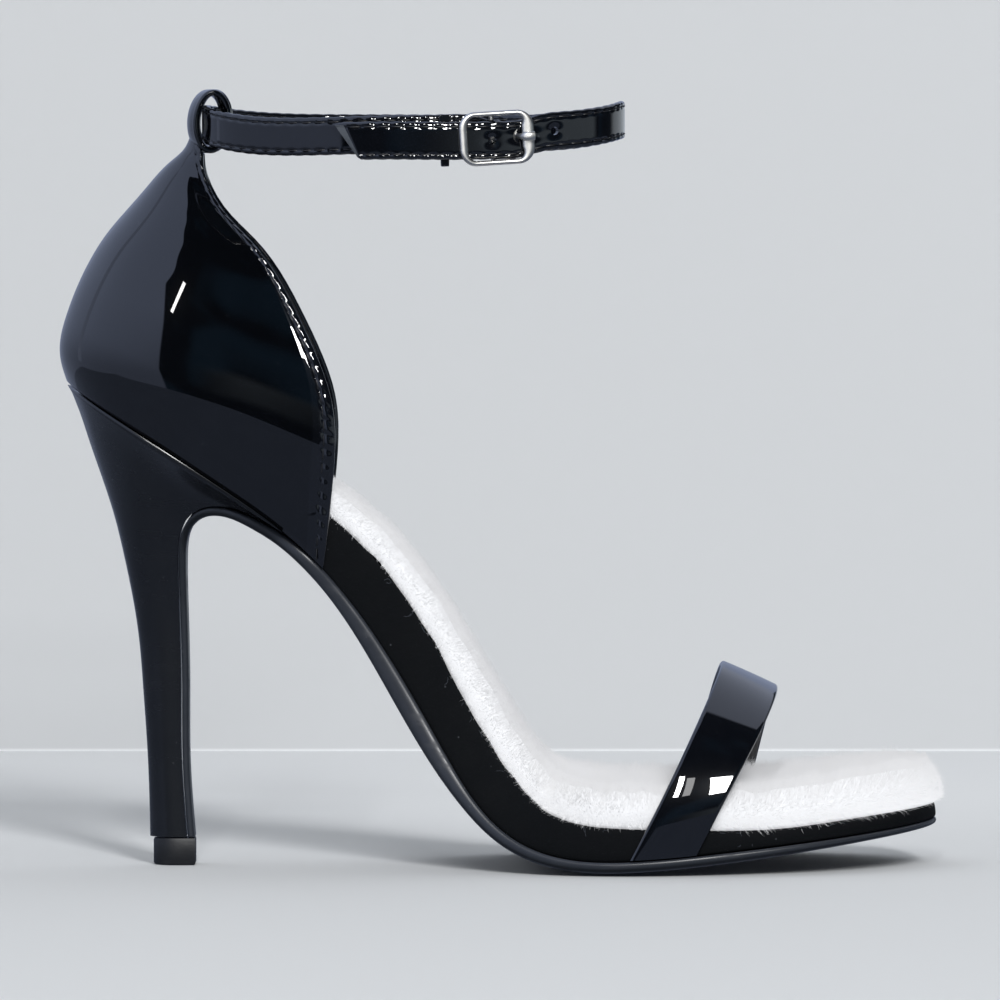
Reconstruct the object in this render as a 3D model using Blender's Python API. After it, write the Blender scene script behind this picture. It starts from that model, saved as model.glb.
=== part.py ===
"""A right-foot stiletto sandal, modelled piece by piece as it is made.

The tables are in millimetres: x runs from the back of the heel to the toe, y to the inner side of the
foot and z up from the floor. ORIGIN_X and ORIGIN_Y put the part's own origin under the middle of its box.
"""

import math
from collections import namedtuple

import bmesh
import bpy
import numpy as np

MM = 0.001
ORIGIN_X = 100.97
ORIGIN_Y = 0.25
GAP = 0.3                  # between pieces that meet
SHARP_ANGLE = math.radians(38.0)
SLOPE_STEP = 0.05          # length over which a line's direction is taken

# Sizes shared by several pieces
COUNTER_WALL = 1.6
COUNTER_OUTSET = 1.5 * GAP + COUNTER_WALL   # round the insole, whose facets need the wider gap
COUNTER_FRONT_X = 60.2     # where the counter's front edge meets the sole
SOLE_LEAVES_LAST_X = 57.0  # behind this the sole turns down the heel
SOLE_OUTSET = 1.6          # the sole shows this much round the insole
SOLE_OUTSET_LENGTH = 40.0  # length over which it comes to that
TOE_TRIM = 0.9             # how much less it shows at the toe
TOE_TRIM_X, TOE_TRIM_LENGTH = 165.0, 34.0
SOLE_ROWS_ON_LAST = 22
HEEL_REACH = 15.5          # how far the round back of the heel seat reaches
TOE_REACH = 19.5           # the same for the toe
END_STOP = 0.03            # an outline's round ends stop this far short of their tips
ROUND_LENGTH = 22.0        # length over which places draw together at a round end
ROUND_COUNT = 6
LAST_COUNT = 38            # places along the insole between its round ends
SOLE_COUNT = 34            # the same along the sole in front of the heel
HEEL_COUNT = 22            # slices of the heel, and places of the sole down its breast
PLATE_COLUMNS = 4          # faces across the sole and the insole

# The bottom of the last along its middle, with the layers that lie on it and under it
LastRow = namedtuple("LastRow", "name x z half_width shift crown insole fur sole")
LAST = (
    LastRow("heel back", 3.2, 109.6, 25.0, 0.0, 0.0, 6.0, 5.0, 3.0),
    LastRow("seat", 18.0, 100.4, 25.0, 0.0, 0.0, 6.0, 5.0, 3.0),
    LastRow("seat front", 37.0, 88.1, 24.2, -0.2, 0.0, 6.5, 5.6, 3.0),
    LastRow("waist", 52.0, 77.2, 22.6, -0.5, 0.0, 8.6, 6.8, 3.0),
    LastRow("counter front", 61.6, 67.9, 21.4, -0.8, 0.0, 9.8, 7.4, 3.1),
    LastRow("shank", 75.9, 48.55, 20.8, -1.2, 0.0, 9.9, 6.0, 4.1),
    LastRow("shank foot", 88.45, 26.9, 23.2, -1.5, 0.1, 9.3, 6.0, 4.0),
    LastRow("arch foot", 94.8, 16.6, 26.5, -1.5, 0.3, 9.6, 7.2, 3.1),
    LastRow("ball back", 104.0, 7.5, 31.2, -1.2, 0.7, 8.9, 9.2, 2.7),
    LastRow("ball heel", 115.5, 3.2, 35.3, -0.7, 1.0, 7.8, 10.8, 2.5),
    LastRow("ball", 128.0, 2.4, 37.7, -0.3, 1.2, 7.0, 11.3, 2.4),
    LastRow("ball front", 146.0, 3.8, 38.2, 0.6, 1.2, 5.2, 11.6, 2.4),
    LastRow("toe joints", 164.0, 6.1, 36.6, 1.8, 0.8, 3.4, 12.0, 2.1),
    LastRow("toes", 182.0, 8.5, 34.5, 3.2, 0.5, 3.3, 12.2, 1.7),
    LastRow("toe tip", 201.2, 11.0, 32.5, 5.0, 0.4, 3.2, 12.0, 1.5),
)

# Edges of the three plates from underside to top: how far out, and the level as a part of the thickness
EdgeRow = namedtuple("EdgeRow", "outset part")
SOLE_EDGE = (EdgeRow(-1.5, 1.0), EdgeRow(-0.45, 0.86), EdgeRow(0.0, 0.55), EdgeRow(0.0, 0.2),
             EdgeRow(-0.4, 0.0))
INSOLE_EDGE = (EdgeRow(-0.6, 0.0), EdgeRow(0.0, 0.12), EdgeRow(0.0, 0.88), EdgeRow(-0.6, 1.0))
FUR_BODY = 0.74            # height of the packed fur, the locks stand above it
FUR_EDGE = (EdgeRow(-1.6, 0.0), EdgeRow(-1.0, 0.16), EdgeRow(-1.2, 0.46), EdgeRow(-3.2, FUR_BODY))
FUR_COLUMNS = 7
TOE_FLUFF = 2.4            # how far the fur hangs out at the toe
TOE_FLUFF_LENGTH = 30.0
LOCK_TALL = 0.3            # height of a lock, as a part of the fur's
LOCK_HEIGHTS = 0.6, 1.15   # lowest and highest lock
LOCK_LEAN = 1.3
FUR_SEED = 5

# The heel from its tip to its seat: back line, breast line, widths, and the sole flap on the breast
HeelRow = namedtuple("HeelRow", "name back_x back_z breast_x breast_z half_width breast_half_width flap")
HEEL = (
    HeelRow("tip", 20.1, 6.6, 28.9, 6.6, 4.9, 4.4, 1.7),
    HeelRow("stem foot", 19.6, 24.0, 27.7, 24.0, 4.9, 4.3, 1.7),
    HeelRow("stem", 18.4, 42.3, 27.6, 42.0, 5.5, 4.8, 1.7),
    HeelRow("stem top", 16.3, 60.7, 27.2, 60.0, 6.9, 5.9, 1.7),
    HeelRow("throat", 13.3, 75.0, 27.0, 70.5, 9.6, 8.0, 1.7),
    HeelRow("bend", 10.2, 86.0, 28.3, 78.4, 14.0, 10.8, 1.8),
    HeelRow("crown", 6.9, 95.6, 31.8, 82.0, 18.5, 14.0, 1.9),
    HeelRow("roof", 4.8, 102.0, 37.2, 82.8, 22.2, 17.0, 2.0),
    HeelRow("slope", 3.2, 106.4, 44.5, 80.4, 24.8, 19.5, 2.3),
    HeelRow("waist", 2.2, 108.9, 51.0, 76.9, 26.2, 20.8, 2.7),
)
HEEL_SIDES = 9             # faces on each side of a slice
HEEL_BACK_REACH = 0.62     # round reach of a slice's back, as a part of its half width
HEEL_TAPER_START = 0.3     # part of a slice behind which it is at its full width
TIP_BACK_X = 20.9
TIP_FRONT_X = 30.6
TIP_TOP_Z = 6.2
TIP_BEVEL = 0.5

# The counter from its seam to the strap loop: back line, front edge, and half widths along each level
CounterRow = namedtuple("CounterRow", "name back_x back_z front_x front_z half_width front_half_width")
COUNTER = (
    CounterRow("seam", 1.6, 110.6, 60.2, 70.8, 26.9, 23.6),
    CounterRow("seat", 0.0, 117.5, 61.3, 85.0, 28.2, 25.4),
    CounterRow("cup", 0.9, 125.0, 62.4, 97.0, 29.3, 26.6),
    CounterRow("cup top", 3.6, 133.2, 61.7, 107.6, 29.0, 26.4),
    CounterRow("ankle bone", 7.8, 141.6, 58.6, 117.5, 27.4, 25.2),
    CounterRow("tendon", 13.1, 148.6, 53.4, 128.8, 24.0, 22.6),
    CounterRow("neck", 19.2, 155.6, 45.8, 140.8, 18.8, 18.4),
    CounterRow("tab", 24.6, 161.4, 36.3, 151.0, 12.2, 12.4),
    CounterRow("tab top", 28.3, 165.0, 32.5, 159.6, 8.4, 8.6),
    CounterRow("tab end", 29.6, 168.0, 32.0, 164.4, 6.9, 6.9),
)
COUNTER_LEVELS, COUNTER_PLACES = 15, 27
LEVELS_ON_LAST = 2         # rows over which the counter leaves the shape of the last's bottom
CUP_REACH = 0.58           # round reach of a counter level, as a part of its half width
CUP_TAPER_START = 0.25     # part of a level behind which it is at its full width

# The loop at the counter's top, an oval tube across the heel that the ankle strap runs through
LOOP_X, LOOP_Z = 33.2, 171.0
LOOP_RADIUS_X, LOOP_RADIUS_Z = 4.4, 7.3
LOOP_TILT = math.radians(-4.0)
LOOP_WALL = 1.4
LOOP_HALF_WIDTH = 7.2
LOOP_SIDES, LOOP_COLUMNS = 18, 5

# The toe band: where its middle starts on each side, and its top over the toes
BAND_BASE_X = {-1: 137.7, 1: 149.5}
BAND_TOP_X, BAND_TOP_Z = 158.0, 43.2
BAND_WIDTH, BAND_TOP_WIDTH = 15.4, 14.1
BAND_THICKNESS = 1.4
BAND_RISE = 7.6            # straight rise up the insole's edge
BAND_STRAIGHT = 0.12       # part of the climb taken by that rise
BAND_STRAIGHT_ROWS, BAND_ARCH_ROWS, BAND_COLUMNS = 2, 14, 5
BAND_TOP_TILT = math.radians(19.4)
BAND_SWELL = 0.35

# The ankle strap's oval in plan, and its height round it
ANKLE_X = 80.75
ANKLE_LENGTH, ANKLE_WIDTH = 47.75, 28.4    # semi-axes along the strap's middle
ANKLE_SQUARENESS = 2.25
ANKLE_Z, ANKLE_RISE_FRONT, ANKLE_SAG, ANKLE_HANG, ANKLE_TWIST = 169.0, 0.5, 1.4, 0.4, 0.4
OVAL_SAMPLES, OVAL_BEFORE, OVAL_AFTER = 2400, 0.4, 1.2
STRAP_WIDTH = 8.6
STRAP_THICKNESS = 1.6
STRAP_STEP = 4.2           # length of its straight facets
SKIVED = 1.0               # thickness of the folded end
FOLD_LENGTH = 8.0
FOLD_TURNS = 8
TAIL_LENGTH = 33.2         # from the buckle's bar to the tail's end
TAIL_SLANT = 2.4           # half the slant of the cut end
TAIL_DROP = 0.45
KEEPER_WALL = 0.4          # the keeper lies between the strap and its tail
TAIL_LAYER = STRAP_THICKNESS + 2 * GAP + KEEPER_WALL   # the tail's middle over the strap's middle
TAIL_RISE_START, TAIL_RISE_LENGTH = 42.0, 24.0   # where the strap starts to rise over its own start
UNDER_LIFT = 0.55          # how much the strap under the tail shows above it
UNDER_RISE, UNDER_LENGTH = 6.0, 30.0
HOLE_STEP = 7.2
HOLE_RADIUS = 0.9
HOLE_SIDES = 10
PRONG_HOLE_LONGER = 1.7
SLOT_BACK, SLOT_FRONT, SLOT_HALF = -3.0, 3.6, 1.1   # in the fold, for the prong
SLOT_IN, SLOT_OUT = -4.2, 0.95

# The buckle, in the strap's own directions: along it, up, and out of it
BAR_ON_OVAL = math.radians(-70.0)
BUCKLE_LENGTH, BUCKLE_HEIGHT = 17.3, 13.2
BUCKLE_SIDE, BUCKLE_RAIL = 2.4, 1.3        # widths of its upright sides and of its rails
BUCKLE_DEPTH = 1.4
BUCKLE_CORNER = 3.8
BUCKLE_CORNER_STEPS, BUCKLE_RAIL_PARTS = 4, (0.5, 0.0, -0.5)
BUCKLE_SECTION = 8
BUCKLE_OUT, BUCKLE_BOW = 4.35, 0.5
BUCKLE_ROLL = math.radians(3.5)
BUCKLE_DROP = 0.3
BAR_RADIUS = 0.6
BAR_OUT = -1.3
BAR_BEND = 0.5
POST_OUT = 0.6
PRONG_RADIUS = 0.55
PRONG_SIDES, PRONG_ROWS = 6, 24
PRONG_HOOK = 1.5           # radius of its hook round the bar
HOOK_START, HOOK_STEP, HOOK_COUNT = math.radians(70.0), math.radians(26.0), 10
PRONG_HOLE = 3.9           # the prong's hole, in front of the bar
PRONG_FLAT = 0.75          # how much wider its flat end is
PRONG_FLAT_START, PRONG_FLAT_LENGTH = 4.4, 1.4
PRONG_WAY = ((2.1, -1.0), (PRONG_HOLE - 0.9, 0.4), (PRONG_HOLE, TAIL_LAYER), (5.0, 4.6),
             (6.0, 5.65), (7.1, 5.95), (8.1, 5.85))   # along and out, from the hook to its end
KEEPER_BACK = 11.1         # behind the bar
KEEPER_WIDTH = 2.2
KEEPER_DROOP = 1.4
KEEPER_TURNS = 4


def spline(knots, rows):
    """Natural cubic spline through the rows, which runs straight on past both ends."""
    knots = np.asarray(knots, float)
    rows = np.asarray(rows, float)
    count = len(knots)
    step = np.diff(knots)
    system = np.eye(count)
    target = np.zeros_like(rows)
    for i in range(1, count - 1):
        system[i, i - 1:i + 2] = step[i - 1], 2 * (step[i - 1] + step[i]), step[i]
        target[i] = 6 * ((rows[i + 1] - rows[i]) / step[i] - (rows[i] - rows[i - 1]) / step[i - 1])
    bend = np.linalg.solve(system, target)

    def at(places):
        places = np.atleast_1d(np.asarray(places, float))
        inside = np.clip(places, knots[0], knots[-1])
        i = np.clip(np.searchsorted(knots, inside) - 1, 0, count - 2)
        h = step[i][:, None]
        a = ((knots[i + 1] - inside) / step[i])[:, None]
        b = 1 - a
        curve = (a ** 3 - a) * bend[i] + (b ** 3 - b) * bend[i + 1]
        turn = (3 * b * b - 1) * bend[i + 1] - (3 * a * a - 1) * bend[i]
        value = a * rows[i] + b * rows[i + 1] + curve * h * h / 6
        slope = (rows[i + 1] - rows[i]) / h + turn * h / 6
        return value + slope * (places - inside)[:, None]

    return at


def running_length(points):
    """Distance along a row of points, from its first one."""
    steps = np.linalg.norm(np.diff(np.asarray(points, float), axis=0), axis=1)
    return np.concatenate([[0.0], np.cumsum(steps)])


def ease(value):
    """Smooth step from 0 to 1."""
    value = np.clip(value, 0.0, 1.0)
    return value * value * (3 - 2 * value)


def rounded(distance, reach):
    """Width of a round end at a distance from its tip, as a part of its full width."""
    return (1 - np.exp(-(np.maximum(distance, 0.0) / reach) ** 1.5)) ** (1 / 3)


def make_lay(line, crown):
    """A function that lays points on a bent sheet: along its line, across it, and up from it."""
    def lay(arc, y, level):
        arc, y, level = np.broadcast_arrays(*np.atleast_1d(arc, y, level))
        place = line(arc)
        ahead = line(arc + SLOPE_STEP) - line(arc - SLOPE_STEP)
        ahead /= np.linalg.norm(ahead[:, :2], axis=1)[:, None]
        height = level + crown(arc, y)
        return np.stack([place[:, 0] - ahead[:, 1] * height, y, place[:, 1] + ahead[:, 0] * height], axis=1)

    return lay


LAST_KNOTS = running_length([(row.x, row.z) for row in LAST])
LAST_LENGTH = LAST_KNOTS[-1]
last_line = spline(LAST_KNOTS, [row[1:] for row in LAST])


def last_value(arc, name):
    """One column of the last's table, at places along it."""
    return last_line(arc)[:, LastRow._fields.index(name) - 1]


LAST_ARCS = np.linspace(0.0, LAST_LENGTH, 2000)
LAST_X = last_value(LAST_ARCS, "x")


def last_arc(x):
    """Place along the last that lies at x."""
    return float(np.interp(x, LAST_X, LAST_ARCS))


def last_half_width(arc, outset):
    """Half width of the insole's outline, moved out by outset."""
    width = last_value(arc, "half_width") + outset
    return width * rounded(arc + outset, HEEL_REACH) * rounded(LAST_LENGTH + outset - arc, TOE_REACH)


def last_crown(arc, y):
    """How far the bottom of the last rises from its middle to its edges."""
    across = (y - last_value(arc, "shift")) / last_value(arc, "half_width")
    return last_value(arc, "crown") * across ** 2


lay_on_last = make_lay(last_line, last_crown)


def eased_places(start, end, count, round_start):
    """Places from start to end, drawn together at the round end and, where it is round, at the start."""
    close = ROUND_LENGTH * (np.arange(ROUND_COUNT) / ROUND_COUNT) ** 2
    head = start + close if round_start else []
    first = start + ROUND_LENGTH if round_start else start
    middle = np.linspace(first, end - ROUND_LENGTH, count)
    return np.concatenate([head, middle, end - close[::-1]])


def last_outline(outset, fluff=0.0):
    """Both edges of the insole's outline at matching places, moved out by outset and at the toe by fluff."""
    arcs = eased_places(END_STOP - outset, LAST_LENGTH + outset + fluff - END_STOP, LAST_COUNT, True)
    toe = ease((arcs - LAST_LENGTH + TOE_FLUFF_LENGTH) / TOE_FLUFF_LENGTH)
    width = last_half_width(arcs, outset + fluff * toe)
    middle = last_value(arcs, "shift")
    return arcs, middle - width, middle + width


def fur_outline(outset):
    return last_outline(outset, TOE_FLUFF)


def plate(lay, outline, profile, columns):
    """Vertices and faces of a plate: rings of an outline from its underside to its top, and both faces.

    The faces come as a list for the walls and a list for the top.
    """
    vertices, walls, top = [], [], []
    rings = []
    for outset, level in profile:
        arcs, outer, inner = outline(outset)
        ring = np.concatenate([lay(arcs, outer, level(arcs)), lay(arcs, inner, level(arcs))[::-1]])
        rings.append(range(len(vertices), len(vertices) + len(ring)))
        vertices.extend(ring)
    size = len(rings[0])
    half = size // 2
    for low, high in zip(rings, rings[1:]):
        for i in range(size):
            walls.append((low[i], low[(i + 1) % size], high[(i + 1) % size], high[i]))
    for ring, (outset, level), faces in ((rings[0], profile[0], walls), (rings[-1], profile[-1], top)):
        arcs, outer, inner = outline(outset)
        inside = slice(1, half - 1)
        grid = [ring[inside]]
        for part in np.linspace(0.0, 1.0, columns + 1)[1:-1]:
            grid.append(range(len(vertices), len(vertices) + half - 2))
            across = outer + (inner - outer) * part
            vertices.extend(lay(arcs[inside], across[inside], level(arcs[inside])))
        grid.append(ring[half + 1:size - 1][::-1])
        for near, far in zip(grid, grid[1:]):
            for i in range(half - 3):
                faces.append((near[i], near[i + 1], far[i + 1], far[i]))
        walls.append((ring[0], *(row[0] for row in grid), ring[size - 1]))
        walls.append((ring[half - 1], *(row[-1] for row in grid), ring[half]))
    return vertices, walls, top


def walled_grid(outer, inner, closed=False):
    """Vertices and faces of the wall between two grids of points; closed joins its last row to its first."""
    rows, columns = outer.shape[:2]
    vertices = np.concatenate([outer.reshape(-1, 3), inner.reshape(-1, 3)])

    def spot(side, i, j):
        return side * rows * columns + (i % rows) * columns + j

    faces = []
    for i in range(rows if closed else rows - 1):
        for j in range(columns - 1):
            for side in (0, 1):
                faces.append((spot(side, i, j), spot(side, i + 1, j),
                              spot(side, i + 1, j + 1), spot(side, i, j + 1)))
        for j in (0, columns - 1):
            faces.append((spot(0, i, j), spot(0, i + 1, j), spot(1, i + 1, j), spot(1, i, j)))
    if not closed:
        for i in (0, rows - 1):
            for j in range(columns - 1):
                faces.append((spot(0, i, j), spot(0, i, j + 1), spot(1, i, j + 1), spot(1, i, j)))
    return vertices, faces


def grid_normals(points):
    """Unit normals of a grid of points."""
    normal = np.cross(np.gradient(points, axis=0), np.gradient(points, axis=1))
    return normal / np.linalg.norm(normal, axis=2)[..., None]


def make_material(name, colour, roughness, metallic=0.0):
    material = bpy.data.materials.new(name)
    material.use_nodes = True
    shader = material.node_tree.nodes["Principled BSDF"]
    shader.inputs["Base Color"].default_value = (*colour, 1.0)
    shader.inputs["Roughness"].default_value = roughness
    shader.inputs["Metallic"].default_value = metallic
    return material


def make_object(name, vertices, faces, material, root, cutter=False):
    """A closed mesh in the part's own frame, faces out, shaded smooth up to its edges."""
    mesh = bpy.data.meshes.new(name)
    places = np.asarray(vertices, float) - (ORIGIN_X, ORIGIN_Y, 0.0)
    mesh.from_pydata((places * MM).tolist(), [], [list(map(int, face)) for face in faces])
    shape = bmesh.new()
    shape.from_mesh(mesh)
    bmesh.ops.recalc_face_normals(shape, faces=shape.faces)
    shape.to_mesh(mesh)
    shape.free()
    mesh.shade_smooth()
    mesh.set_sharp_from_angle(angle=SHARP_ANGLE)
    item = bpy.data.objects.new(name, mesh)
    item.parent = root
    bpy.context.scene.collection.objects.link(item)
    if cutter:
        item.hide_render = True
        item.display_type = "WIRE"
    else:
        mesh.materials.append(material)
    return item


def cut_with(item, tool, operation):
    modifier = item.modifiers.new(tool.name, "BOOLEAN")
    modifier.operation = operation
    modifier.object = tool
    modifier.solver = "EXACT"


def tube(path, radius, sides):
    """Vertices and faces of a round rod along a path of points, with flat ends."""
    path = np.asarray(path, float)
    ahead = np.gradient(path, axis=0)
    ahead /= np.linalg.norm(ahead, axis=1)[:, None]
    start = np.eye(3)[np.argmin(np.abs(ahead).max(axis=0))]
    vertices, faces = [], []
    side = start
    for place, forward in zip(path, ahead):
        side = side - forward * side.dot(forward)
        side /= np.linalg.norm(side)
        other = np.cross(forward, side)
        for k in range(sides):
            angle = 2 * math.pi * k / sides
            vertices.append(place + radius * (math.cos(angle) * side + math.sin(angle) * other))
    for i in range(len(path) - 1):
        for k in range(sides):
            low, high = i * sides, (i + 1) * sides
            faces.append((low + k, low + (k + 1) % sides, high + (k + 1) % sides, high + k))
    faces.append(tuple(range(sides)))
    faces.append(tuple(range((len(path) - 1) * sides, len(path) * sides)))
    return vertices, faces


SoleRow = namedtuple("SoleRow", "x z half_width shift crown thickness")


def sole_outset(x):
    """How far the sole shows round the insole."""
    spread = SOLE_OUTSET * ease((x - SOLE_LEAVES_LAST_X) / SOLE_OUTSET_LENGTH)
    return float(spread - TOE_TRIM * ease((x - TOE_TRIM_X) / TOE_TRIM_LENGTH))


def make_sole_line():
    """The sole's line: up the heel's breast, round the throat and on under the last to the toe."""
    rows = [SoleRow(row.breast_x, row.breast_z, row.breast_half_width, 0.0, 0.0, row.flap) for row in HEEL]
    for arc in np.linspace(last_arc(SOLE_LEAVES_LAST_X), LAST_LENGTH, SOLE_ROWS_ON_LAST):
        x, y, z = lay_on_last(arc, last_value(arc, "shift"), -GAP)[0]
        here = LastRow("", *last_line(arc)[0])
        rows.append(SoleRow(x, z, here.half_width + sole_outset(x), y, here.crown, here.sole))
    knots = running_length([row[:2] for row in rows])
    return spline(knots, rows), knots


sole_line, SOLE_KNOTS = make_sole_line()
SOLE_LENGTH = SOLE_KNOTS[-1]
HEEL_KNOTS = SOLE_KNOTS[:len(HEEL)]
HEEL_PLACES = np.interp(np.linspace(0, len(HEEL) - 1, HEEL_COUNT), np.arange(len(HEEL)), HEEL_KNOTS)


def sole_value(arc, name):
    """One value of the sole's line, at places along it."""
    return sole_line(arc)[:, SoleRow._fields.index(name)]


def sole_crown(arc, y):
    across = (y - sole_value(arc, "shift")) / sole_value(arc, "half_width")
    return sole_value(arc, "crown") * across ** 2


lay_on_sole = make_lay(sole_line, sole_crown)


def sole_outline(outset):
    """Both edges of the sole, moved in or out; the end at the heel's tip is cut straight."""
    tip = SOLE_LENGTH + SOLE_OUTSET - TOE_TRIM + outset
    arcs = eased_places(HEEL_KNOTS[-1], tip - END_STOP, SOLE_COUNT, False)
    arcs = np.concatenate([HEEL_PLACES[:-1], arcs])
    width = (sole_value(arcs, "half_width") + outset) * rounded(tip - arcs, TOE_REACH)
    middle = sole_value(arcs, "shift")
    return arcs, middle - width, middle + width


def add_outsole(root, material):
    def depth(part):
        return lambda arcs: -part * sole_value(arcs, "thickness")

    profile = [(row.outset, depth(row.part)) for row in SOLE_EDGE]
    vertices, walls, top = plate(lay_on_sole, sole_outline, profile, PLATE_COLUMNS)
    vertices = np.asarray(vertices)
    vertices[:, 2] = np.maximum(vertices[:, 2], 0.0)      # the flat tread under the ball
    make_object("outsole", vertices, walls + top, material, root)


def add_wrapped_insole(root, material):
    def level(part):
        return lambda arcs: part * last_value(arcs, "insole")

    profile = [(row.outset, level(row.part)) for row in INSOLE_EDGE]
    vertices, walls, top = plate(lay_on_last, last_outline, profile, PLATE_COLUMNS)
    make_object("wrapped_insole", vertices, walls + top, material, root)


def add_fur_sock(root, material):
    """A packed slab of fur with a lock raised on each facet of its top, leaning to the toe."""
    def level(part):
        return lambda arcs: last_value(arcs, "insole") + GAP + part * last_value(arcs, "fur")

    profile = [(row.outset, level(row.part)) for row in FUR_EDGE]
    vertices, walls, top = plate(lay_on_last, fur_outline, profile, FUR_COLUMNS)
    item = make_object("fur_sock", vertices, walls + top, material, root)
    draw = np.random.default_rng(FUR_SEED)
    shape = bmesh.new()
    shape.from_mesh(item.data)
    shape.faces.ensure_lookup_table()
    ring = 2 * len(fur_outline(0.0)[0])
    slope = range((len(FUR_EDGE) - 2) * ring, (len(FUR_EDGE) - 1) * ring)
    faces = [shape.faces[i] for i in (*slope, *range(len(walls), len(walls) + len(top)))]
    for lock in bmesh.ops.poke(shape, faces=faces)["verts"]:
        upright = max(lock.normal.z, 0.0) ** 2
        fur = float(last_value(last_arc(lock.co.x / MM + ORIGIN_X), "fur")[0])
        reach = LOCK_TALL * fur * draw.uniform(*LOCK_HEIGHTS) * upright
        lock.co = lock.co + lock.normal * reach * MM
        lock.co.x += LOCK_LEAN * draw.uniform(0.2, 1.0) * upright * MM
    shape.to_mesh(item.data)
    shape.free()


def heel_slice(row):
    """Points of one slice of the heel, from the middle of its back round to both breast edges."""
    back_x, back_z, breast_x, breast_z, half_width, breast_half_width = row
    length = math.hypot(breast_x - back_x, breast_z - back_z)
    part = np.linspace(0.0, 1.0, HEEL_SIDES + 1)[1:] ** 2
    taper = ease((part - HEEL_TAPER_START) / (1 - HEEL_TAPER_START))
    width = half_width + (breast_half_width - half_width) * taper
    width = width * rounded(part * length, HEEL_BACK_REACH * half_width)
    x = back_x + (breast_x - back_x) * part
    z = back_z + (breast_z - back_z) * part
    side = np.stack([x, width, z], axis=1)
    return np.concatenate([[(back_x, 0.0, back_z)], side, (side * (1, -1, 1))[::-1]])


def ring_faces(loops):
    """Faces of the wall through a row of loops of points, which follow each other in one list."""
    size = len(loops[0])
    faces = []
    for low in range(0, size * (len(loops) - 1), size):
        for i in range(size):
            j = (i + 1) % size
            faces.append((low + i, low + j, low + size + j, low + size + i))
    return faces


def add_heel(root, material):
    rows = [(row.back_x, row.back_z, row.half_width, row.breast_half_width) for row in HEEL]
    heel_line = spline(HEEL_KNOTS, rows)
    breast = lay_on_sole(HEEL_PLACES, 0.0, GAP)
    breast[0, 2] = HEEL[0].back_z
    loops = []
    for (back_x, back_z, half_width, breast_half_width), front in zip(heel_line(HEEL_PLACES), breast):
        loops.append(heel_slice((back_x, back_z, front[0], front[2], half_width, breast_half_width)))
    # The seat follows the bottom of the last
    seat_length = last_arc(HEEL[-1].breast_x) + COUNTER_OUTSET
    arcs = -COUNTER_OUTSET + seat_length * np.linspace(0.0, 1.0, HEEL_SIDES + 1) ** 2
    width = last_half_width(arcs, COUNTER_OUTSET)
    middle = last_value(arcs, "shift")
    inner = lay_on_last(arcs, middle + width, -GAP)
    outer = lay_on_last(arcs, middle - width, -GAP)
    loops.append(np.concatenate([inner, outer[1:][::-1]]))
    size = len(loops[0])
    vertices = [point for loop in loops for point in loop]
    faces = ring_faces(loops)
    faces.append(tuple(range(size)))
    seat = size * (len(loops) - 1)
    spine = range(len(vertices), len(vertices) + HEEL_SIDES)
    vertices.extend(lay_on_last(arcs[1:], middle[1:], -GAP))
    faces.append((seat, seat + 1, spine[0]))
    faces.append((seat, spine[0], seat + size - 1))
    for i in range(1, HEEL_SIDES):
        faces.append((seat + i, seat + 1 + i, spine[i], spine[i - 1]))
        faces.append((spine[i - 1], spine[i], seat + size - 1 - i, seat + size - i))
    faces.append((seat + HEEL_SIDES, seat + HEEL_SIDES + 1, spine[-1]))
    make_object("heel", vertices, faces, material, root)


def add_top_piece(root, material):
    tip = HEEL[0]
    loops = []
    for inset, z in ((TIP_BEVEL, 0.0), (0.0, TIP_BEVEL), (0.0, TIP_TOP_Z)):
        widths = tip.half_width - inset, tip.breast_half_width - inset
        loops.append(heel_slice((TIP_BACK_X + inset, z, TIP_FRONT_X - inset, z, *widths)))
    size = len(loops[0])
    vertices = [point for loop in loops for point in loop]
    ends = [tuple(range(size)), tuple(range(2 * size, 3 * size))]
    make_object("top_piece", vertices, ring_faces(loops) + ends, material, root)


def counter_points(levels, sides):
    """Grid of points on the counter's outside: a row for each level, from front edge to front edge."""
    middles = [((row.back_x + row.front_x) / 2, (row.back_z + row.front_z) / 2) for row in COUNTER]
    knots = running_length(middles)
    counter_line = spline(knots, [row[1:] for row in COUNTER])
    part = sides ** 2
    side = np.sign(sides)
    arcs = -COUNTER_OUTSET + (last_arc(COUNTER_FRONT_X) + COUNTER_OUTSET) * part
    seam_y = last_value(arcs, "shift") + side * last_half_width(arcs, COUNTER_OUTSET)
    seam = lay_on_last(arcs, seam_y, 0.0)
    first = COUNTER[0]
    start_x = first.back_x + (first.front_x - first.back_x) * part
    start_z = first.back_z + (first.front_z - first.back_z) * part
    taper = ease((part - CUP_TAPER_START) / (1 - CUP_TAPER_START))
    rows = []
    for place in levels * knots[-1]:
        level = CounterRow("", *counter_line(place)[0])
        length = math.hypot(level.front_x - level.back_x, level.front_z - level.back_z)
        width = level.half_width + (level.front_half_width - level.half_width) * taper
        y = side * width * rounded(part * length, CUP_REACH * level.half_width)
        hold = 1 - ease(place / knots[LEVELS_ON_LAST])
        x = level.back_x + (level.front_x - level.back_x) * part + (seam[:, 0] - start_x) * hold
        z = level.back_z + (level.front_z - level.back_z) * part + (seam[:, 2] - start_z) * hold
        rows.append(np.stack([x, y + (seam[:, 1] - y) * hold, z], axis=1))
    return np.array(rows)


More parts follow.
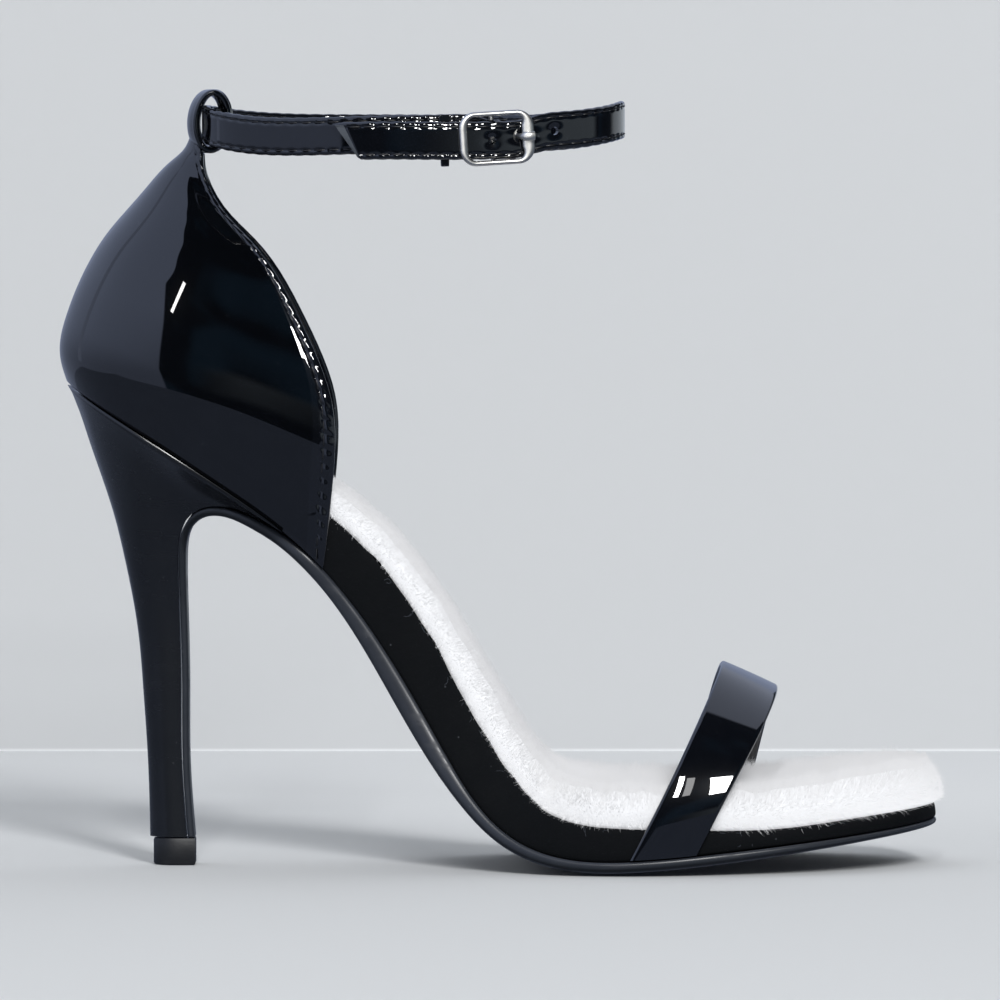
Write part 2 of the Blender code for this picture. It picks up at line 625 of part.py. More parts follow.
def loop_points(wall):
    """Grid of points round the strap loop, wall in from its outside; it bends with the strap."""
    bend = ANKLE_LENGTH / (2 * ANKLE_WIDTH ** 2)
    across = np.linspace(-LOOP_HALF_WIDTH, LOOP_HALF_WIDTH, LOOP_COLUMNS)
    rows = []
    for angle in np.linspace(0.0, 2 * math.pi, LOOP_SIDES, endpoint=False):
        x = (LOOP_RADIUS_X - wall) * math.cos(angle)
        z = (LOOP_RADIUS_Z - wall) * math.sin(angle)
        leaned_x = x * math.cos(LOOP_TILT) - z * math.sin(LOOP_TILT)
        leaned_z = x * math.sin(LOOP_TILT) + z * math.cos(LOOP_TILT)
        back = LOOP_X + leaned_x + bend * across ** 2
        rows.append(np.stack([back, across, np.full(LOOP_COLUMNS, LOOP_Z + leaned_z)], axis=1))
    return np.array(rows)


def add_heel_counter(root, material):
    outer = counter_points(np.linspace(0.0, 1.0, COUNTER_LEVELS), np.linspace(-1.0, 1.0, COUNTER_PLACES))
    normal = grid_normals(outer)
    if normal[COUNTER_LEVELS // 2, COUNTER_PLACES // 2, 0] > 0:
        normal = -normal
    vertices, faces = walled_grid(outer, outer - COUNTER_WALL * normal)
    counter = make_object("heel_counter", vertices, faces, material, root)
    vertices, faces = walled_grid(loop_points(0.0), loop_points(LOOP_WALL), closed=True)
    loop = make_object("strap_loop_form", vertices, faces, material, root, cutter=True)
    cut_with(counter, loop, "UNION")


def band_point(side, climb, part):
    """Point on the toe band's middle: its side, how far up it, and the part across its width."""
    arc = last_arc(BAND_BASE_X[side] + part * BAND_WIDTH)
    here = LastRow("", *last_line(arc)[0])
    foot_y = here.shift + side * (float(last_half_width(arc, 0.0)[0]) + GAP + BAND_THICKNESS / 2)
    foot_z = float(lay_on_last(arc, foot_y, 0.0)[0, 2])
    wall_z = foot_z + BAND_RISE
    angle = math.pi / 2 * max(0.0, climb - BAND_STRAIGHT) / (1 - BAND_STRAIGHT)
    if climb < BAND_STRAIGHT:
        y, z = foot_y, foot_z + BAND_RISE * climb / BAND_STRAIGHT
    else:
        y = here.shift + (foot_y - here.shift) * math.cos(angle)
        z = wall_z + (BAND_TOP_Z - wall_z) * math.sin(angle)
    risen = (z - foot_z) / (BAND_TOP_Z - foot_z)
    middle = BAND_BASE_X[side] + (BAND_TOP_X - BAND_BASE_X[side]) * risen
    width = BAND_WIDTH + (BAND_TOP_WIDTH - BAND_WIDTH) * risen
    tilt = BAND_TOP_TILT * math.sin(angle) ** 2
    return middle + part * width * math.cos(tilt), y, z - part * width * math.sin(tilt)


def band_points(climbs, across):
    """Points on the toe band's middle, from its outer foot over the top to its inner one, and normals."""
    rows = [[band_point(-1, climb, part) for part in across] for climb in climbs]
    rows += [[band_point(1, climb, part) for part in across] for climb in climbs[-2::-1]]
    rows = np.array(rows)
    normal = grid_normals(rows)
    if normal[len(rows) // 2, len(across) // 2, 2] < 0:
        normal = -normal
    swell = BAND_SWELL * (1 - (2 * across) ** 2)
    return rows + normal * swell[None, :, None], normal


def add_toe_strap(root, material):
    foot = np.linspace(0.0, BAND_STRAIGHT, BAND_STRAIGHT_ROWS, endpoint=False)
    climbs = np.concatenate([foot, np.linspace(BAND_STRAIGHT, 1.0, BAND_ARCH_ROWS)])
    middle, normal = band_points(climbs, np.linspace(-0.5, 0.5, BAND_COLUMNS))
    half = normal * BAND_THICKNESS / 2
    vertices, faces = walled_grid(middle + half, middle - half)
    make_object("toe_strap", vertices, faces, material, root)


def oval(angle):
    """Point of the ankle strap's middle line in plan, its direction out, and its height."""
    power = 2 / ANKLE_SQUARENESS

    def place(turn):
        c, s = math.cos(turn), math.sin(turn)
        return np.array([ANKLE_X + ANKLE_LENGTH * math.copysign(abs(c) ** power, c),
                         ANKLE_WIDTH * math.copysign(abs(s) ** power, s)])

    ahead = place(angle + 0.01) - place(angle - 0.01)
    ahead /= np.linalg.norm(ahead)
    height = ANKLE_Z + ANKLE_RISE_FRONT * math.cos(angle)
    height += ANKLE_SAG * math.cos(2 * angle) + ANKLE_HANG * math.cos(4 * angle)
    height -= ANKLE_TWIST * math.sin(2 * angle)
    return place(angle), np.array([ahead[1], -ahead[0]]), height


def oval_table():
    """Angles round the oval, backwards from the buckle's bar, with the length along it."""
    turns = np.linspace(-OVAL_BEFORE, 2 * math.pi + OVAL_AFTER, OVAL_SAMPLES)
    angles = BAR_ON_OVAL - turns
    lengths = running_length([oval(angle)[0] for angle in angles])
    lengths -= np.interp(0.0, turns, lengths)
    return angles, lengths, float(np.interp(2 * math.pi, turns, lengths))


OVAL_ANGLES, OVAL_LENGTHS, OVAL_ROUND = oval_table()


def strap_point(length, out, up):
    """A point by its length along the strap from the buckle's bar, out from it, and up from its middle."""
    place, outward, height = oval(float(np.interp(length, OVAL_LENGTHS, OVAL_ANGLES)))
    return np.array([*(place + outward * out), height + up])


StrapRow = namedtuple("StrapRow", "length out rise thickness slant")


def strap_route():
    """Rows of the strap from its folded end, back round the bar, round the ankle and on to its tail."""
    fold = BAR_RADIUS + GAP + SKIVED / 2
    under = -STRAP_THICKNESS / 2 - GAP - SKIVED / 2
    rows = []
    close = BAR_OUT - fold + 0.12
    for length, out in ((FOLD_LENGTH, under), (5.0, under), (3.0, under - 0.25), (1.4, close)):
        rows.append(StrapRow(length, out, 0.0, SKIVED, 0.0))
    for turn in np.linspace(0.0, math.pi, FOLD_TURNS + 1):
        rows.append(StrapRow(-fold * math.sin(turn), BAR_OUT - fold * math.cos(turn), 0.0, SKIVED, 0.0))
    leaves = 1.6               # here the strap leaves the bar
    rows.append(StrapRow(leaves, BAR_OUT + fold + 0.05, 0.0, SKIVED, 0.0))
    ending = OVAL_ROUND + TAIL_LENGTH
    count = round((ending - STRAP_STEP) / STRAP_STEP)
    for length in np.linspace(STRAP_STEP, ending, count + 1):
        start = float(ease((length - leaves) / UNDER_RISE))
        lift = float(ease(length / UNDER_RISE)) * (1 - float(ease((length - UNDER_LENGTH) / UNDER_LENGTH)))
        drop = float(ease((length - OVAL_ROUND) / TAIL_LENGTH))
        over = float(ease((length - OVAL_ROUND + TAIL_RISE_START) / TAIL_RISE_LENGTH))
        thickness = SKIVED + (STRAP_THICKNESS - SKIVED) * start
        middle = (BAR_OUT + fold) * (1 - start) + TAIL_LAYER * over
        slant = TAIL_SLANT if length == ending else 0.0
        rows.append(StrapRow(length, middle, UNDER_LIFT * lift - TAIL_DROP * drop, thickness, slant))
    return rows


def strap_surfaces(route):
    """Grids of the strap's outside and inside, each row with its lower and upper edge."""
    flat = np.array([strap_point(row.length, row.out, 0.0) for row in route])
    ahead = np.gradient(flat[:, :2], axis=0)
    ahead /= np.linalg.norm(ahead, axis=1)[:, None]
    aside = np.stack([ahead[:, 1], -ahead[:, 0], 0 * ahead[:, 0]], axis=1)
    outside, inside = [], []
    for point, turn, row in zip(flat, aside, route):
        edges = []
        for up in (-STRAP_WIDTH / 2, STRAP_WIDTH / 2):
            slanted = strap_point(row.length + row.slant * np.sign(up), row.out, row.rise + up)
            edges.append(slanted if row.slant else np.array([point[0], point[1], slanted[2]]))
        outside.append([edge + turn * row.thickness / 2 for edge in edges])
        inside.append([edge - turn * row.thickness / 2 for edge in edges])
    return np.array(outside), np.array(inside)


def add_ankle_strap(root, material):
    vertices, faces = walled_grid(*strap_surfaces(strap_route()))
    strap = make_object("ankle_strap", vertices, faces, material, root)
    angles = np.linspace(0.0, 2 * math.pi, HOLE_SIDES, endpoint=False)
    holes = (("prong", PRONG_HOLE, PRONG_HOLE_LONGER), ("front", PRONG_HOLE + HOLE_STEP, 1.0),
             ("back", PRONG_HOLE - HOLE_STEP, 1.0))
    for name, along, longer in holes:
        loops = []
        for out in (TAIL_LAYER - STRAP_THICKNESS / 2 - GAP / 2, TAIL_LAYER + STRAP_THICKNESS):
            loops.append([strap_point(OVAL_ROUND - along + HOLE_RADIUS * longer * math.cos(angle), out,
                                      HOLE_RADIUS * math.sin(angle)) for angle in angles])
        ends = [tuple(range(HOLE_SIDES)), tuple(range(HOLE_SIDES, 2 * HOLE_SIDES))]
        form = make_object("hole_form_" + name, loops[0] + loops[1], ring_faces(loops) + ends,
                           material, root, cutter=True)
        cut_with(strap, form, "DIFFERENCE")
    corners = ((SLOT_IN, -SLOT_HALF), (SLOT_IN, SLOT_HALF), (SLOT_OUT, SLOT_HALF), (SLOT_OUT, -SLOT_HALF))
    loops = [[strap_point(length, out, up) for out, up in corners] for length in (SLOT_BACK, SLOT_FRONT)]
    form = make_object("slot_form", loops[0] + loops[1], ring_faces(loops) + [(0, 1, 2, 3), (4, 5, 6, 7)],
                       material, root, cutter=True)
    cut_with(strap, form, "DIFFERENCE")


def buckle_point(along, out, up):
    """A point of the buckle: along the strap to its front, out from it and up, all from the bar's foot."""
    place, outward, height = oval(BAR_ON_OVAL)
    ahead = np.array([-outward[1], outward[0]])
    turned = along * math.cos(BUCKLE_ROLL) - up * math.sin(BUCKLE_ROLL)
    risen = along * math.sin(BUCKLE_ROLL) + up * math.cos(BUCKLE_ROLL)
    return np.array([*(place + ahead * turned + outward * out), height - BUCKLE_DROP + risen])


def buckle_path():
    """Round the frame's outside: the centre of each corner's round, and the direction away from it."""
    length, height = BUCKLE_LENGTH / 2 - BUCKLE_CORNER, BUCKLE_HEIGHT / 2 - BUCKLE_CORNER
    path = []
    for turn, (along, up) in enumerate(((1, 1), (-1, 1), (-1, -1), (1, -1))):
        for angle in math.pi / 2 * (turn + np.linspace(0.0, 1.0, BUCKLE_CORNER_STEPS + 1)):
            path.append((along * length, up * height, math.cos(angle), math.sin(angle)))
        if turn % 2 == 0:
            for part in BUCKLE_RAIL_PARTS:
                path.append((along * part * length, up * height, 0.0, float(up)))
    return path


def add_buckle_frame(root, material):
    """A bowed frame with round corners; its bar lies behind the strap's tail on two short posts."""
    section = np.linspace(0.0, 2 * math.pi, BUCKLE_SECTION, endpoint=False)
    loops = []
    for centre_along, centre_up, away_along, away_up in buckle_path():
        width = BUCKLE_RAIL + (BUCKLE_SIDE - BUCKLE_RAIL) * away_along ** 2
        loop = []
        for angle in section:
            reach = BUCKLE_CORNER - width * (1 - math.cos(angle)) / 2
            along, up = centre_along + away_along * reach, centre_up + away_up * reach
            bow = BUCKLE_BOW * (1 - min(1.0, (2 * along / BUCKLE_LENGTH) ** 2))
            loop.append(buckle_point(along, BUCKLE_OUT - bow + math.sin(angle) * BUCKLE_DEPTH / 2, up))
        loops.append(loop)
    vertices = [point for loop in loops for point in loop]
    faces = ring_faces(loops)
    last = BUCKLE_SECTION * (len(loops) - 1)
    for i in range(BUCKLE_SECTION):
        j = (i + 1) % BUCKLE_SECTION
        faces.append((last + i, last + j, j, i))
    frame = make_object("buckle_frame", vertices, faces, material, root)
    rail = (BUCKLE_HEIGHT - BUCKLE_RAIL) / 2
    way = [(BUCKLE_OUT - BUCKLE_BOW, rail), (POST_OUT, rail)]
    way += [(BAR_OUT + BAR_BEND, rail), (BAR_OUT, rail - BAR_BEND)]
    way += [(BAR_OUT, 0.0)] + [(out, -up) for out, up in way[::-1]]
    vertices, faces = tube([buckle_point(0.0, out, up) for out, up in way], BAR_RADIUS, BUCKLE_SECTION)
    cut_with(frame, make_object("bar_form", vertices, faces, material, root, cutter=True), "UNION")


def add_buckle_prong(root, material):
    """A rod hooked round the bar, up through the strap's hole; its flat end lies over the frame."""
    hook = HOOK_START + HOOK_STEP * np.arange(HOOK_COUNT)
    way = [(PRONG_HOOK * math.cos(turn), BAR_OUT + PRONG_HOOK * math.sin(turn)) for turn in hook]
    way += PRONG_WAY
    lengths = running_length(way)
    smooth = spline(lengths, way)(np.linspace(0.0, lengths[-1], PRONG_ROWS))
    path = [(along, out, 0.0) for along, out in smooth]
    vertices, faces = tube(path, PRONG_RADIUS, PRONG_SIDES)
    shaped = []
    for along, out, up in vertices:
        beyond = ease((along - PRONG_FLAT_START) / PRONG_FLAT_LENGTH) if out > TAIL_LAYER else 0.0
        shaped.append(buckle_point(along, out, up * (1 + PRONG_FLAT * beyond)))
    make_object("buckle_prong", shaped, faces, material, root)


def add_strap_keeper(root, material):
    """A narrow band that hangs round the strap, under its tail."""
    low, high = -STRAP_THICKNESS / 2 - GAP, STRAP_THICKNESS / 2 + GAP
    under, over = -STRAP_WIDTH / 2 - GAP - KEEPER_DROOP, STRAP_WIDTH / 2 + GAP + UNDER_LIFT
    places = KEEPER_BACK - KEEPER_WIDTH / 2, KEEPER_BACK + KEEPER_WIDTH / 2
    grids = []
    for wall in (KEEPER_WALL, 0.0):
        ring = []
        for turn, (out, up) in enumerate(((high, over), (low, over), (low, under), (high, under))):
            for angle in math.pi / 2 * (turn + np.linspace(0.0, 1.0, KEEPER_TURNS)):
                corner = out + wall * math.cos(angle), up + wall * math.sin(angle)
                ring.append([strap_point(place, *corner) for place in places])
        grids.append(np.array(ring))
    vertices, faces = walled_grid(grids[0], grids[1], closed=True)
    make_object("strap_keeper", vertices, faces, material, root)


def main():
    for item in list(bpy.data.objects):
        bpy.data.objects.remove(item)
    root = bpy.data.objects.new("sandal", None)
    bpy.context.scene.collection.objects.link(root)
    patent = make_material("black patent", (0.008, 0.009, 0.012), 0.06)
    covering = make_material("black smooth covering", (0.012, 0.012, 0.014), 0.32)
    wrap = make_material("black matt wrap", (0.012, 0.012, 0.013), 0.7)
    rubber = make_material("black sole", (0.016, 0.016, 0.017), 0.4)
    fur = make_material("white fur", (0.86, 0.87, 0.9), 0.9)
    nickel = make_material("satin nickel", (0.78, 0.77, 0.74), 0.24, 1.0)
    add_outsole(root, rubber)
    add_wrapped_insole(root, wrap)
    add_fur_sock(root, fur)
    add_heel(root, covering)
    add_top_piece(root, rubber)
    add_heel_counter(root, patent)
    add_toe_strap(root, patent)
    add_ankle_strap(root, patent)
    add_strap_keeper(root, patent)
    add_buckle_frame(root, nickel)
    add_buckle_prong(root, nickel)


main()
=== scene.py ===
"""Looks of a right-foot stiletto sandal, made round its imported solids.

The shoe's own sizes are in millimetres, as it is built: x runs from the back of the heel to the toe, y to
the inner side of the foot and z up from the floor. ORIGIN_X and ORIGIN_Y bring a piece into the frame.
"""

import math
from collections import namedtuple

import bmesh
import bpy
import numpy as np
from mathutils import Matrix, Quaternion, Vector


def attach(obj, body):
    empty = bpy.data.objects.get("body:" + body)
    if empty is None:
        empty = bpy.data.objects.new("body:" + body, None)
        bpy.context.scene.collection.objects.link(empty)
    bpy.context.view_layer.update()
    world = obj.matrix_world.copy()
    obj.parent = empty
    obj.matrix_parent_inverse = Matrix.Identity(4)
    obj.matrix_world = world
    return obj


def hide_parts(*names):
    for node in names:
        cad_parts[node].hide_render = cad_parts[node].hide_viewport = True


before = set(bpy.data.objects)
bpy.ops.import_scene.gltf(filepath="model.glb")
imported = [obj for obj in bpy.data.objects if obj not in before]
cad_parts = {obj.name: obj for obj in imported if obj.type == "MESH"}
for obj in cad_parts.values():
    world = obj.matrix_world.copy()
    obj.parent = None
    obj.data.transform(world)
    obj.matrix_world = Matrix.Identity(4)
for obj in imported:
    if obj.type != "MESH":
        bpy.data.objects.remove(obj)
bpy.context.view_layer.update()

MM = 0.001
ORIGIN_X, ORIGIN_Y = 100.97, 0.25
GAP = 0.3
SLOPE_STEP = 0.05
SHARP_ANGLE = math.radians(40.0)

# Sizes that several pieces share
COUNTER_WALL = 1.6
COUNTER_OUTSET = 1.5 * GAP + COUNTER_WALL
COUNTER_FRONT_X = 60.2
SOLE_LEAVES_LAST_X = 57.0
SOLE_OUTSET, SOLE_OUTSET_LENGTH = 1.6, 40.0
TOE_TRIM, TOE_TRIM_X, TOE_TRIM_LENGTH = 1.7, 165.0, 34.0
SOLE_ROWS_ON_LAST = 22
HEEL_REACH, TOE_REACH = 15.5, 19.5
END_STOP = 0.03
ROUND_LENGTH, ROUND_COUNT = 22.0, 26
ROUND_POWER, ROUND_ROOT = 1.5, 1 / 3
LAST_COUNT, SOLE_COUNT, HEEL_COUNT = 150, 150, 150
LAST_SAMPLES = 2000
PLATE_COLUMNS = 20
EDGE_ROWS, EDGE_STEPS = 15, 6

# The bottom of the last along its middle, with the layers that lie on it and under it
LastRow = namedtuple("LastRow", "name x z half_width shift crown insole fur sole")
LAST = (
    LastRow("heel back", 3.2, 109.6, 25.0, 0.0, 0.0, 6.0, 5.0, 3.0),
    LastRow("seat", 18.0, 100.4, 25.0, 0.0, 0.0, 6.0, 5.0, 3.0),
    LastRow("seat front", 37.0, 88.1, 24.2, -0.2, 0.0, 6.5, 5.6, 3.0),
    LastRow("waist", 52.0, 77.2, 22.6, -0.5, 0.0, 8.6, 6.8, 3.0),
    LastRow("counter front", 61.6, 67.9, 21.4, -0.8, 0.0, 9.8, 7.4, 3.1),
    LastRow("shank", 75.9, 48.55, 20.8, -1.2, 0.0, 9.9, 7.8, 4.1),
    LastRow("shank foot", 88.45, 26.9, 23.2, -1.5, 0.1, 9.3, 8.8, 4.0),
    LastRow("arch foot", 94.8, 16.6, 26.5, -1.5, 0.3, 9.6, 8.9, 3.1),
    LastRow("ball back", 104.0, 7.5, 31.2, -1.2, 0.7, 8.9, 9.8, 2.7),
    LastRow("ball heel", 115.5, 3.2, 35.3, -0.7, 1.0, 7.8, 10.8, 2.5),
    LastRow("ball", 128.0, 2.4, 37.7, -0.3, 1.2, 7.0, 11.3, 2.4),
    LastRow("ball front", 146.0, 3.8, 38.2, 0.6, 1.2, 5.2, 11.6, 2.4),
    LastRow("toe joints", 164.0, 6.1, 36.6, 1.8, 0.8, 3.4, 12.0, 2.1),
    LastRow("toes", 182.0, 8.5, 34.5, 3.2, 0.5, 3.3, 12.2, 1.7),
    LastRow("toe tip", 201.2, 11.0, 32.5, 5.0, 0.4, 3.2, 12.0, 1.5),
)

# Edges of the plates from underside to top: how far out, and the level as a part of the thickness
EdgeRow = namedtuple("EdgeRow", "outset part")
SOLE_EDGE = (EdgeRow(-1.5, 1.0), EdgeRow(-0.45, 0.86), EdgeRow(0.0, 0.55), EdgeRow(0.0, 0.2),
             EdgeRow(-0.4, 0.0))
INSOLE_EDGE = (EdgeRow(-0.6, 0.0), EdgeRow(0.0, 0.12), EdgeRow(0.0, 0.88), EdgeRow(-0.6, 1.0))
FUR_BODY = 0.74
FUR_EDGE = (EdgeRow(-1.6, 0.0), EdgeRow(-1.0, 0.16), EdgeRow(-1.2, 0.46), EdgeRow(-3.2, FUR_BODY))
TOE_FLUFF, TOE_FLUFF_LENGTH = 2.4, 30.0

# The heel from its tip to its seat: back line, breast line, widths, and the sole flap on the breast
HeelRow = namedtuple("HeelRow", "name back_x back_z breast_x breast_z half_width breast_half_width flap")
HEEL = (
    HeelRow("tip", 20.1, 6.6, 28.9, 6.6, 4.9, 4.4, 1.7),
    HeelRow("stem foot", 19.6, 24.0, 27.7, 24.0, 4.9, 4.3, 1.7),
    HeelRow("stem", 18.4, 42.3, 27.6, 42.0, 5.5, 4.8, 1.7),
    HeelRow("stem top", 16.3, 60.7, 27.2, 60.0, 6.9, 5.9, 1.7),
    HeelRow("throat", 13.3, 75.0, 27.0, 70.5, 9.6, 8.0, 1.7),
    HeelRow("bend", 10.2, 86.0, 28.3, 78.4, 14.0, 10.8, 1.8),
    HeelRow("crown", 6.9, 95.6, 31.8, 82.0, 18.5, 14.0, 1.9),
    HeelRow("roof", 4.8, 102.0, 37.2, 82.8, 22.2, 17.0, 2.0),
    HeelRow("slope", 3.2, 106.4, 44.5, 80.4, 24.8, 19.5, 2.3),
    HeelRow("waist", 2.2, 108.9, 51.0, 76.9, 26.2, 20.8, 2.7),
)
HEEL_SIDES = 44
HEEL_BACK_REACH, HEEL_TAPER_START = 0.62, 0.3
TIP_BACK_X, TIP_FRONT_X, TIP_TOP_Z = 20.9, 30.6, 6.2
TIP_EDGE = (0.7, 0.0), (0.25, 0.12), (0.0, 0.5), (0.0, 5.7), (0.2, TIP_TOP_Z)      # inset and height

# The counter from its seam to the strap loop: back line, front edge, and half widths along each level
CounterRow = namedtuple("CounterRow", "name back_x back_z front_x front_z half_width front_half_width")
COUNTER = (
    CounterRow("seam", 1.6, 110.6, 60.2, 70.8, 26.9, 23.6),
    CounterRow("seat", 0.0, 117.5, 61.3, 85.0, 28.2, 25.4),
    CounterRow("cup", 0.9, 125.0, 62.4, 97.0, 29.3, 26.6),
    CounterRow("cup top", 3.6, 133.2, 61.7, 107.6, 29.0, 26.4),
    CounterRow("ankle bone", 7.8, 141.6, 58.6, 117.5, 27.4, 25.2),
    CounterRow("tendon", 13.1, 148.6, 53.4, 128.8, 24.0, 22.6),
    CounterRow("neck", 19.2, 155.6, 45.8, 140.8, 18.8, 18.4),
    CounterRow("tab", 24.6, 161.4, 36.3, 151.0, 12.2, 12.4),
    CounterRow("tab top", 28.3, 165.0, 32.5, 159.6, 8.4, 8.6),
    CounterRow("tab end", 29.6, 168.0, 32.0, 164.4, 6.9, 6.9),
)
LEVELS_ON_LAST = 2
CUP_REACH, CUP_TAPER_START = 0.58, 0.25
COUNTER_LEVELS = 270
COUNTER_WAVE = 0.05
COUNTER_WAVES = (0.21, 0.13, 0.6), (-0.09, 0.17, 1.0), (0.11, 0.43, 0.0)
COUNTER_FINE_WAVE = 0.4
COUNTER_SWELL, COUNTER_SWELL_AT, COUNTER_SWELL_WIDTH = 0.5, 10.0, 8.0      # over the seam
COUNTER_TUCK, COUNTER_TUCK_LENGTH = 0.4, 1.0
FOOT_TUCK, FOOT_TUCK_LENGTH, FOOT_TUCK_START, FOOT_TUCK_REACH = 0.8, 11.0, 4.0, 22.0
CREASE_START, CREASE_WAY = (52.0, 80.2), (7.3, 1.4)      # in x and z
CREASE_HEIGHT, CREASE_WIDTH = 0.05, 0.3
LINING_STEP, LINING_RIM, LINING_GAP, LINING_THICKNESS = 4, 5, 0.02, 0.35
COUNTER_FIELD, COUNTER_RIM, COUNTER_RIM_COUNT, RIM_COLUMNS = 46, 0.93, 28, 14
FLARE, FLARE_WIDTH, FLARE_START_Z, FLARE_LENGTH = 0.8, 8.0, 132.0, 14.0     # of the tab's edges

# The loop at the counter's top
LOOP_X, LOOP_Z = 33.2, 171.0
LOOP_RADIUS_X, LOOP_RADIUS_Z = 4.4, 7.3
LOOP_TILT = math.radians(-4.0)
LOOP_WALL, LOOP_HALF_WIDTH = 1.4, 7.2
LOOP_SIDES, LOOP_COLUMNS = 96, 24

# The toe band
BAND_BASE_X = {-1: 137.7, 1: 149.5}
BAND_TOP_X, BAND_TOP_Z = 158.0, 43.4
BAND_WIDTH, BAND_TOP_WIDTH, BAND_THICKNESS = 15.4, 14.1, 1.4
BAND_RISE, BAND_STRAIGHT = 7.6, 0.12
BAND_TOP_TILT = math.radians(24.5)
BAND_SWELL = 0.12
BAND_ROWS, BAND_COLUMNS = 150, 40

# The ankle strap's oval in plan, and its height round it
ANKLE_X, ANKLE_LENGTH, ANKLE_WIDTH = 80.75, 47.75, 28.4
ANKLE_SQUARENESS = 2.25
ANKLE_Z, ANKLE_RISE_FRONT, ANKLE_SAG, ANKLE_HANG, ANKLE_TWIST = 169.0, 0.5, 1.4, 0.4, 0.4
OVAL_SAMPLES, OVAL_BEFORE, OVAL_AFTER = 2400, 0.4, 1.2
OVAL_STEP = 0.01
STRAP_WIDTH, STRAP_THICKNESS, STRAP_STEP = 8.6, 1.6, 4.2
SKIVED, FOLD_LENGTH, FOLD_TURNS = 1.0, 8.0, 8
TAIL_LENGTH, TAIL_SLANT = 33.2, 2.4
TAIL_DROP, TAIL_DROP_START, TAIL_DROP_LENGTH, TAIL_BACK_RISE = 1.5, 12.0, 8.0, 0.6
TAIL_CUT_LENGTH, TAIL_CUT_DEPTH = 1.3, 0.6      # of its raw slanted end
TAIL_CUT_SKIN, TAIL_CUT_OVER = 0.3, 0.03
KEEPER_WALL = 0.4
TAIL_LAYER = STRAP_THICKNESS + 2 * GAP + KEEPER_WALL
TAIL_RISE_START, TAIL_RISE_LENGTH = 42.0, 24.0
UNDER_LIFT, UNDER_RISE, UNDER_LENGTH = 0.35, 6.0, 30.0
STRAP_FINE_STEP, STRAP_COLUMNS = 0.42, 34
FOLD_FLAT, FOLD_BEND, FOLD_BEND_IN, FOLD_CLOSE, FOLD_CLOSE_OUT = 5.0, 3.0, 0.25, 1.4, 0.12
STRAP_LEAVES, STRAP_LEAVES_OUT = 1.6, 0.05
HOLE_STEP, HOLE_RADIUS, HOLE_SIDES, PRONG_HOLE_LONGER, HOLE_DIMPLE = 7.05, 0.9, 28, 2.2, 0.34
HOLE_DIMPLE_REACH = 1.7
SLOT_BACK, SLOT_FRONT, SLOT_HALF = -3.0, 3.6, 1.1
SLOT_IN, SLOT_OUT = -4.2, 0.95

# The buckle, in the strap's own directions
BAR_ON_OVAL = math.radians(-70.0)
BUCKLE_LENGTH, BUCKLE_HEIGHT, BUCKLE_RAIL = 17.3, 12.3, 1.2
BUCKLE_FRONT, BUCKLE_BACK = 2.8, 1.9      # widths of its two sides
BUCKLE_DEPTH, BUCKLE_CORNER = 1.4, 3.8
BUCKLE_CORNER_STEPS, BUCKLE_RAIL_STEPS, BUCKLE_SECTION = 16, 14, 20
BUCKLE_OUT, BUCKLE_BOW, BUCKLE_ROLL, BUCKLE_DROP = 4.35, 0.5, math.radians(3.5), 0.95
BAR_RADIUS, BAR_OUT, BAR_BEND, POST_OUT = 0.6, -1.3, 0.5, 0.6
PRONG_RADIUS, PRONG_SIDES, PRONG_ROWS, PRONG_HOOK = 0.55, 18, 110, 1.5
HOOK_START, HOOK_STEP, HOOK_COUNT = math.radians(70.0), math.radians(26.0), 10
PRONG_HOLE, PRONG_FLAT, PRONG_FLAT_START, PRONG_FLAT_LENGTH = 6.2, 0.9, 5.0, 1.2
PRONG_HOLE_RISE = -0.63    # there the prong crosses the strap
PRONG_WAY = ((2.6, -1.0), (4.5, 0.4), (5.1, TAIL_LAYER), (5.3, 4.3), (5.9, 5.4), (6.8, 5.9), (8.4, 5.8))
KEEPER_BACK, KEEPER_WIDTH, KEEPER_DROOP, KEEPER_TURNS = 11.1, 2.4, 2.2, 10
KEEPER_SNUG, KEEPER_TAPER = 0.7, 0.42
KEEPER_PLACES = 10

# Stitching
STITCH_PITCH = 3.27        # from one needle hole to the next
STITCH_LENGTH = 2.5
THREAD_RADIUS, THREAD_SIDES, THREAD_RINGS = 0.17, 8, 7
THREAD_LIFT, THREAD_DIVE = -0.05, 0.3
COUNTER_STITCH_IN = 2.1    # from the counter's edge
STRAP_STITCH_IN = 1.15
SEAM_DEPTH, SEAM_WIDTH, NEEDLE_DEPTH, NEEDLE_WIDTH = 0.07, 0.4, 0.2, 0.8
COUNTER_BEAD, STRAP_BEAD = 0.8, 0.08
PUCKER = 0.18              # how far the edge puffs up between two needle holes
ROLL_AT, ROLL_WIDTH = 0.42, 0.36      # of the roll beside the seam, as parts of its inset

# Fur
FUR_SWELL = 0.45           # soft hills in the pile
FUR_SWELL_START, FUR_SWELL_LENGTH = 40.0, 60.0
FUR_TOP_START, FUR_TOP_LENGTH = 8.0, 4.0
HAIR_PIECES, HAIRS_EACH, EDGE_HAIRS = 3, 46000, 0.5
HAIR_RADIUS, HAIR_LENGTH, HAIR_ROOT = 0.055, 0.29, 0.15
TOE_SHORTER, TOE_SHORTER_START = 0.45, 0.955
LOCK_SPACING = 2.6
LOCK_ACROSS, LOCK_CLIMB = 30.0, 2.0
LOCK_MIX, LOCK_SPREAD = np.array([127.1, 311.7]), np.array([43758.5, 24634.6, 91237.3])
LOCK_SHORTEST, LOCK_VARIES, HAIR_LENGTHS = 0.8, 0.3, (0.6, 1.1)
HAIR_LOWEST, EDGE_RISE, EDGE_RISE_START, EDGE_RISE_LENGTH = 0.4, 1.1, 1.0, 2.0
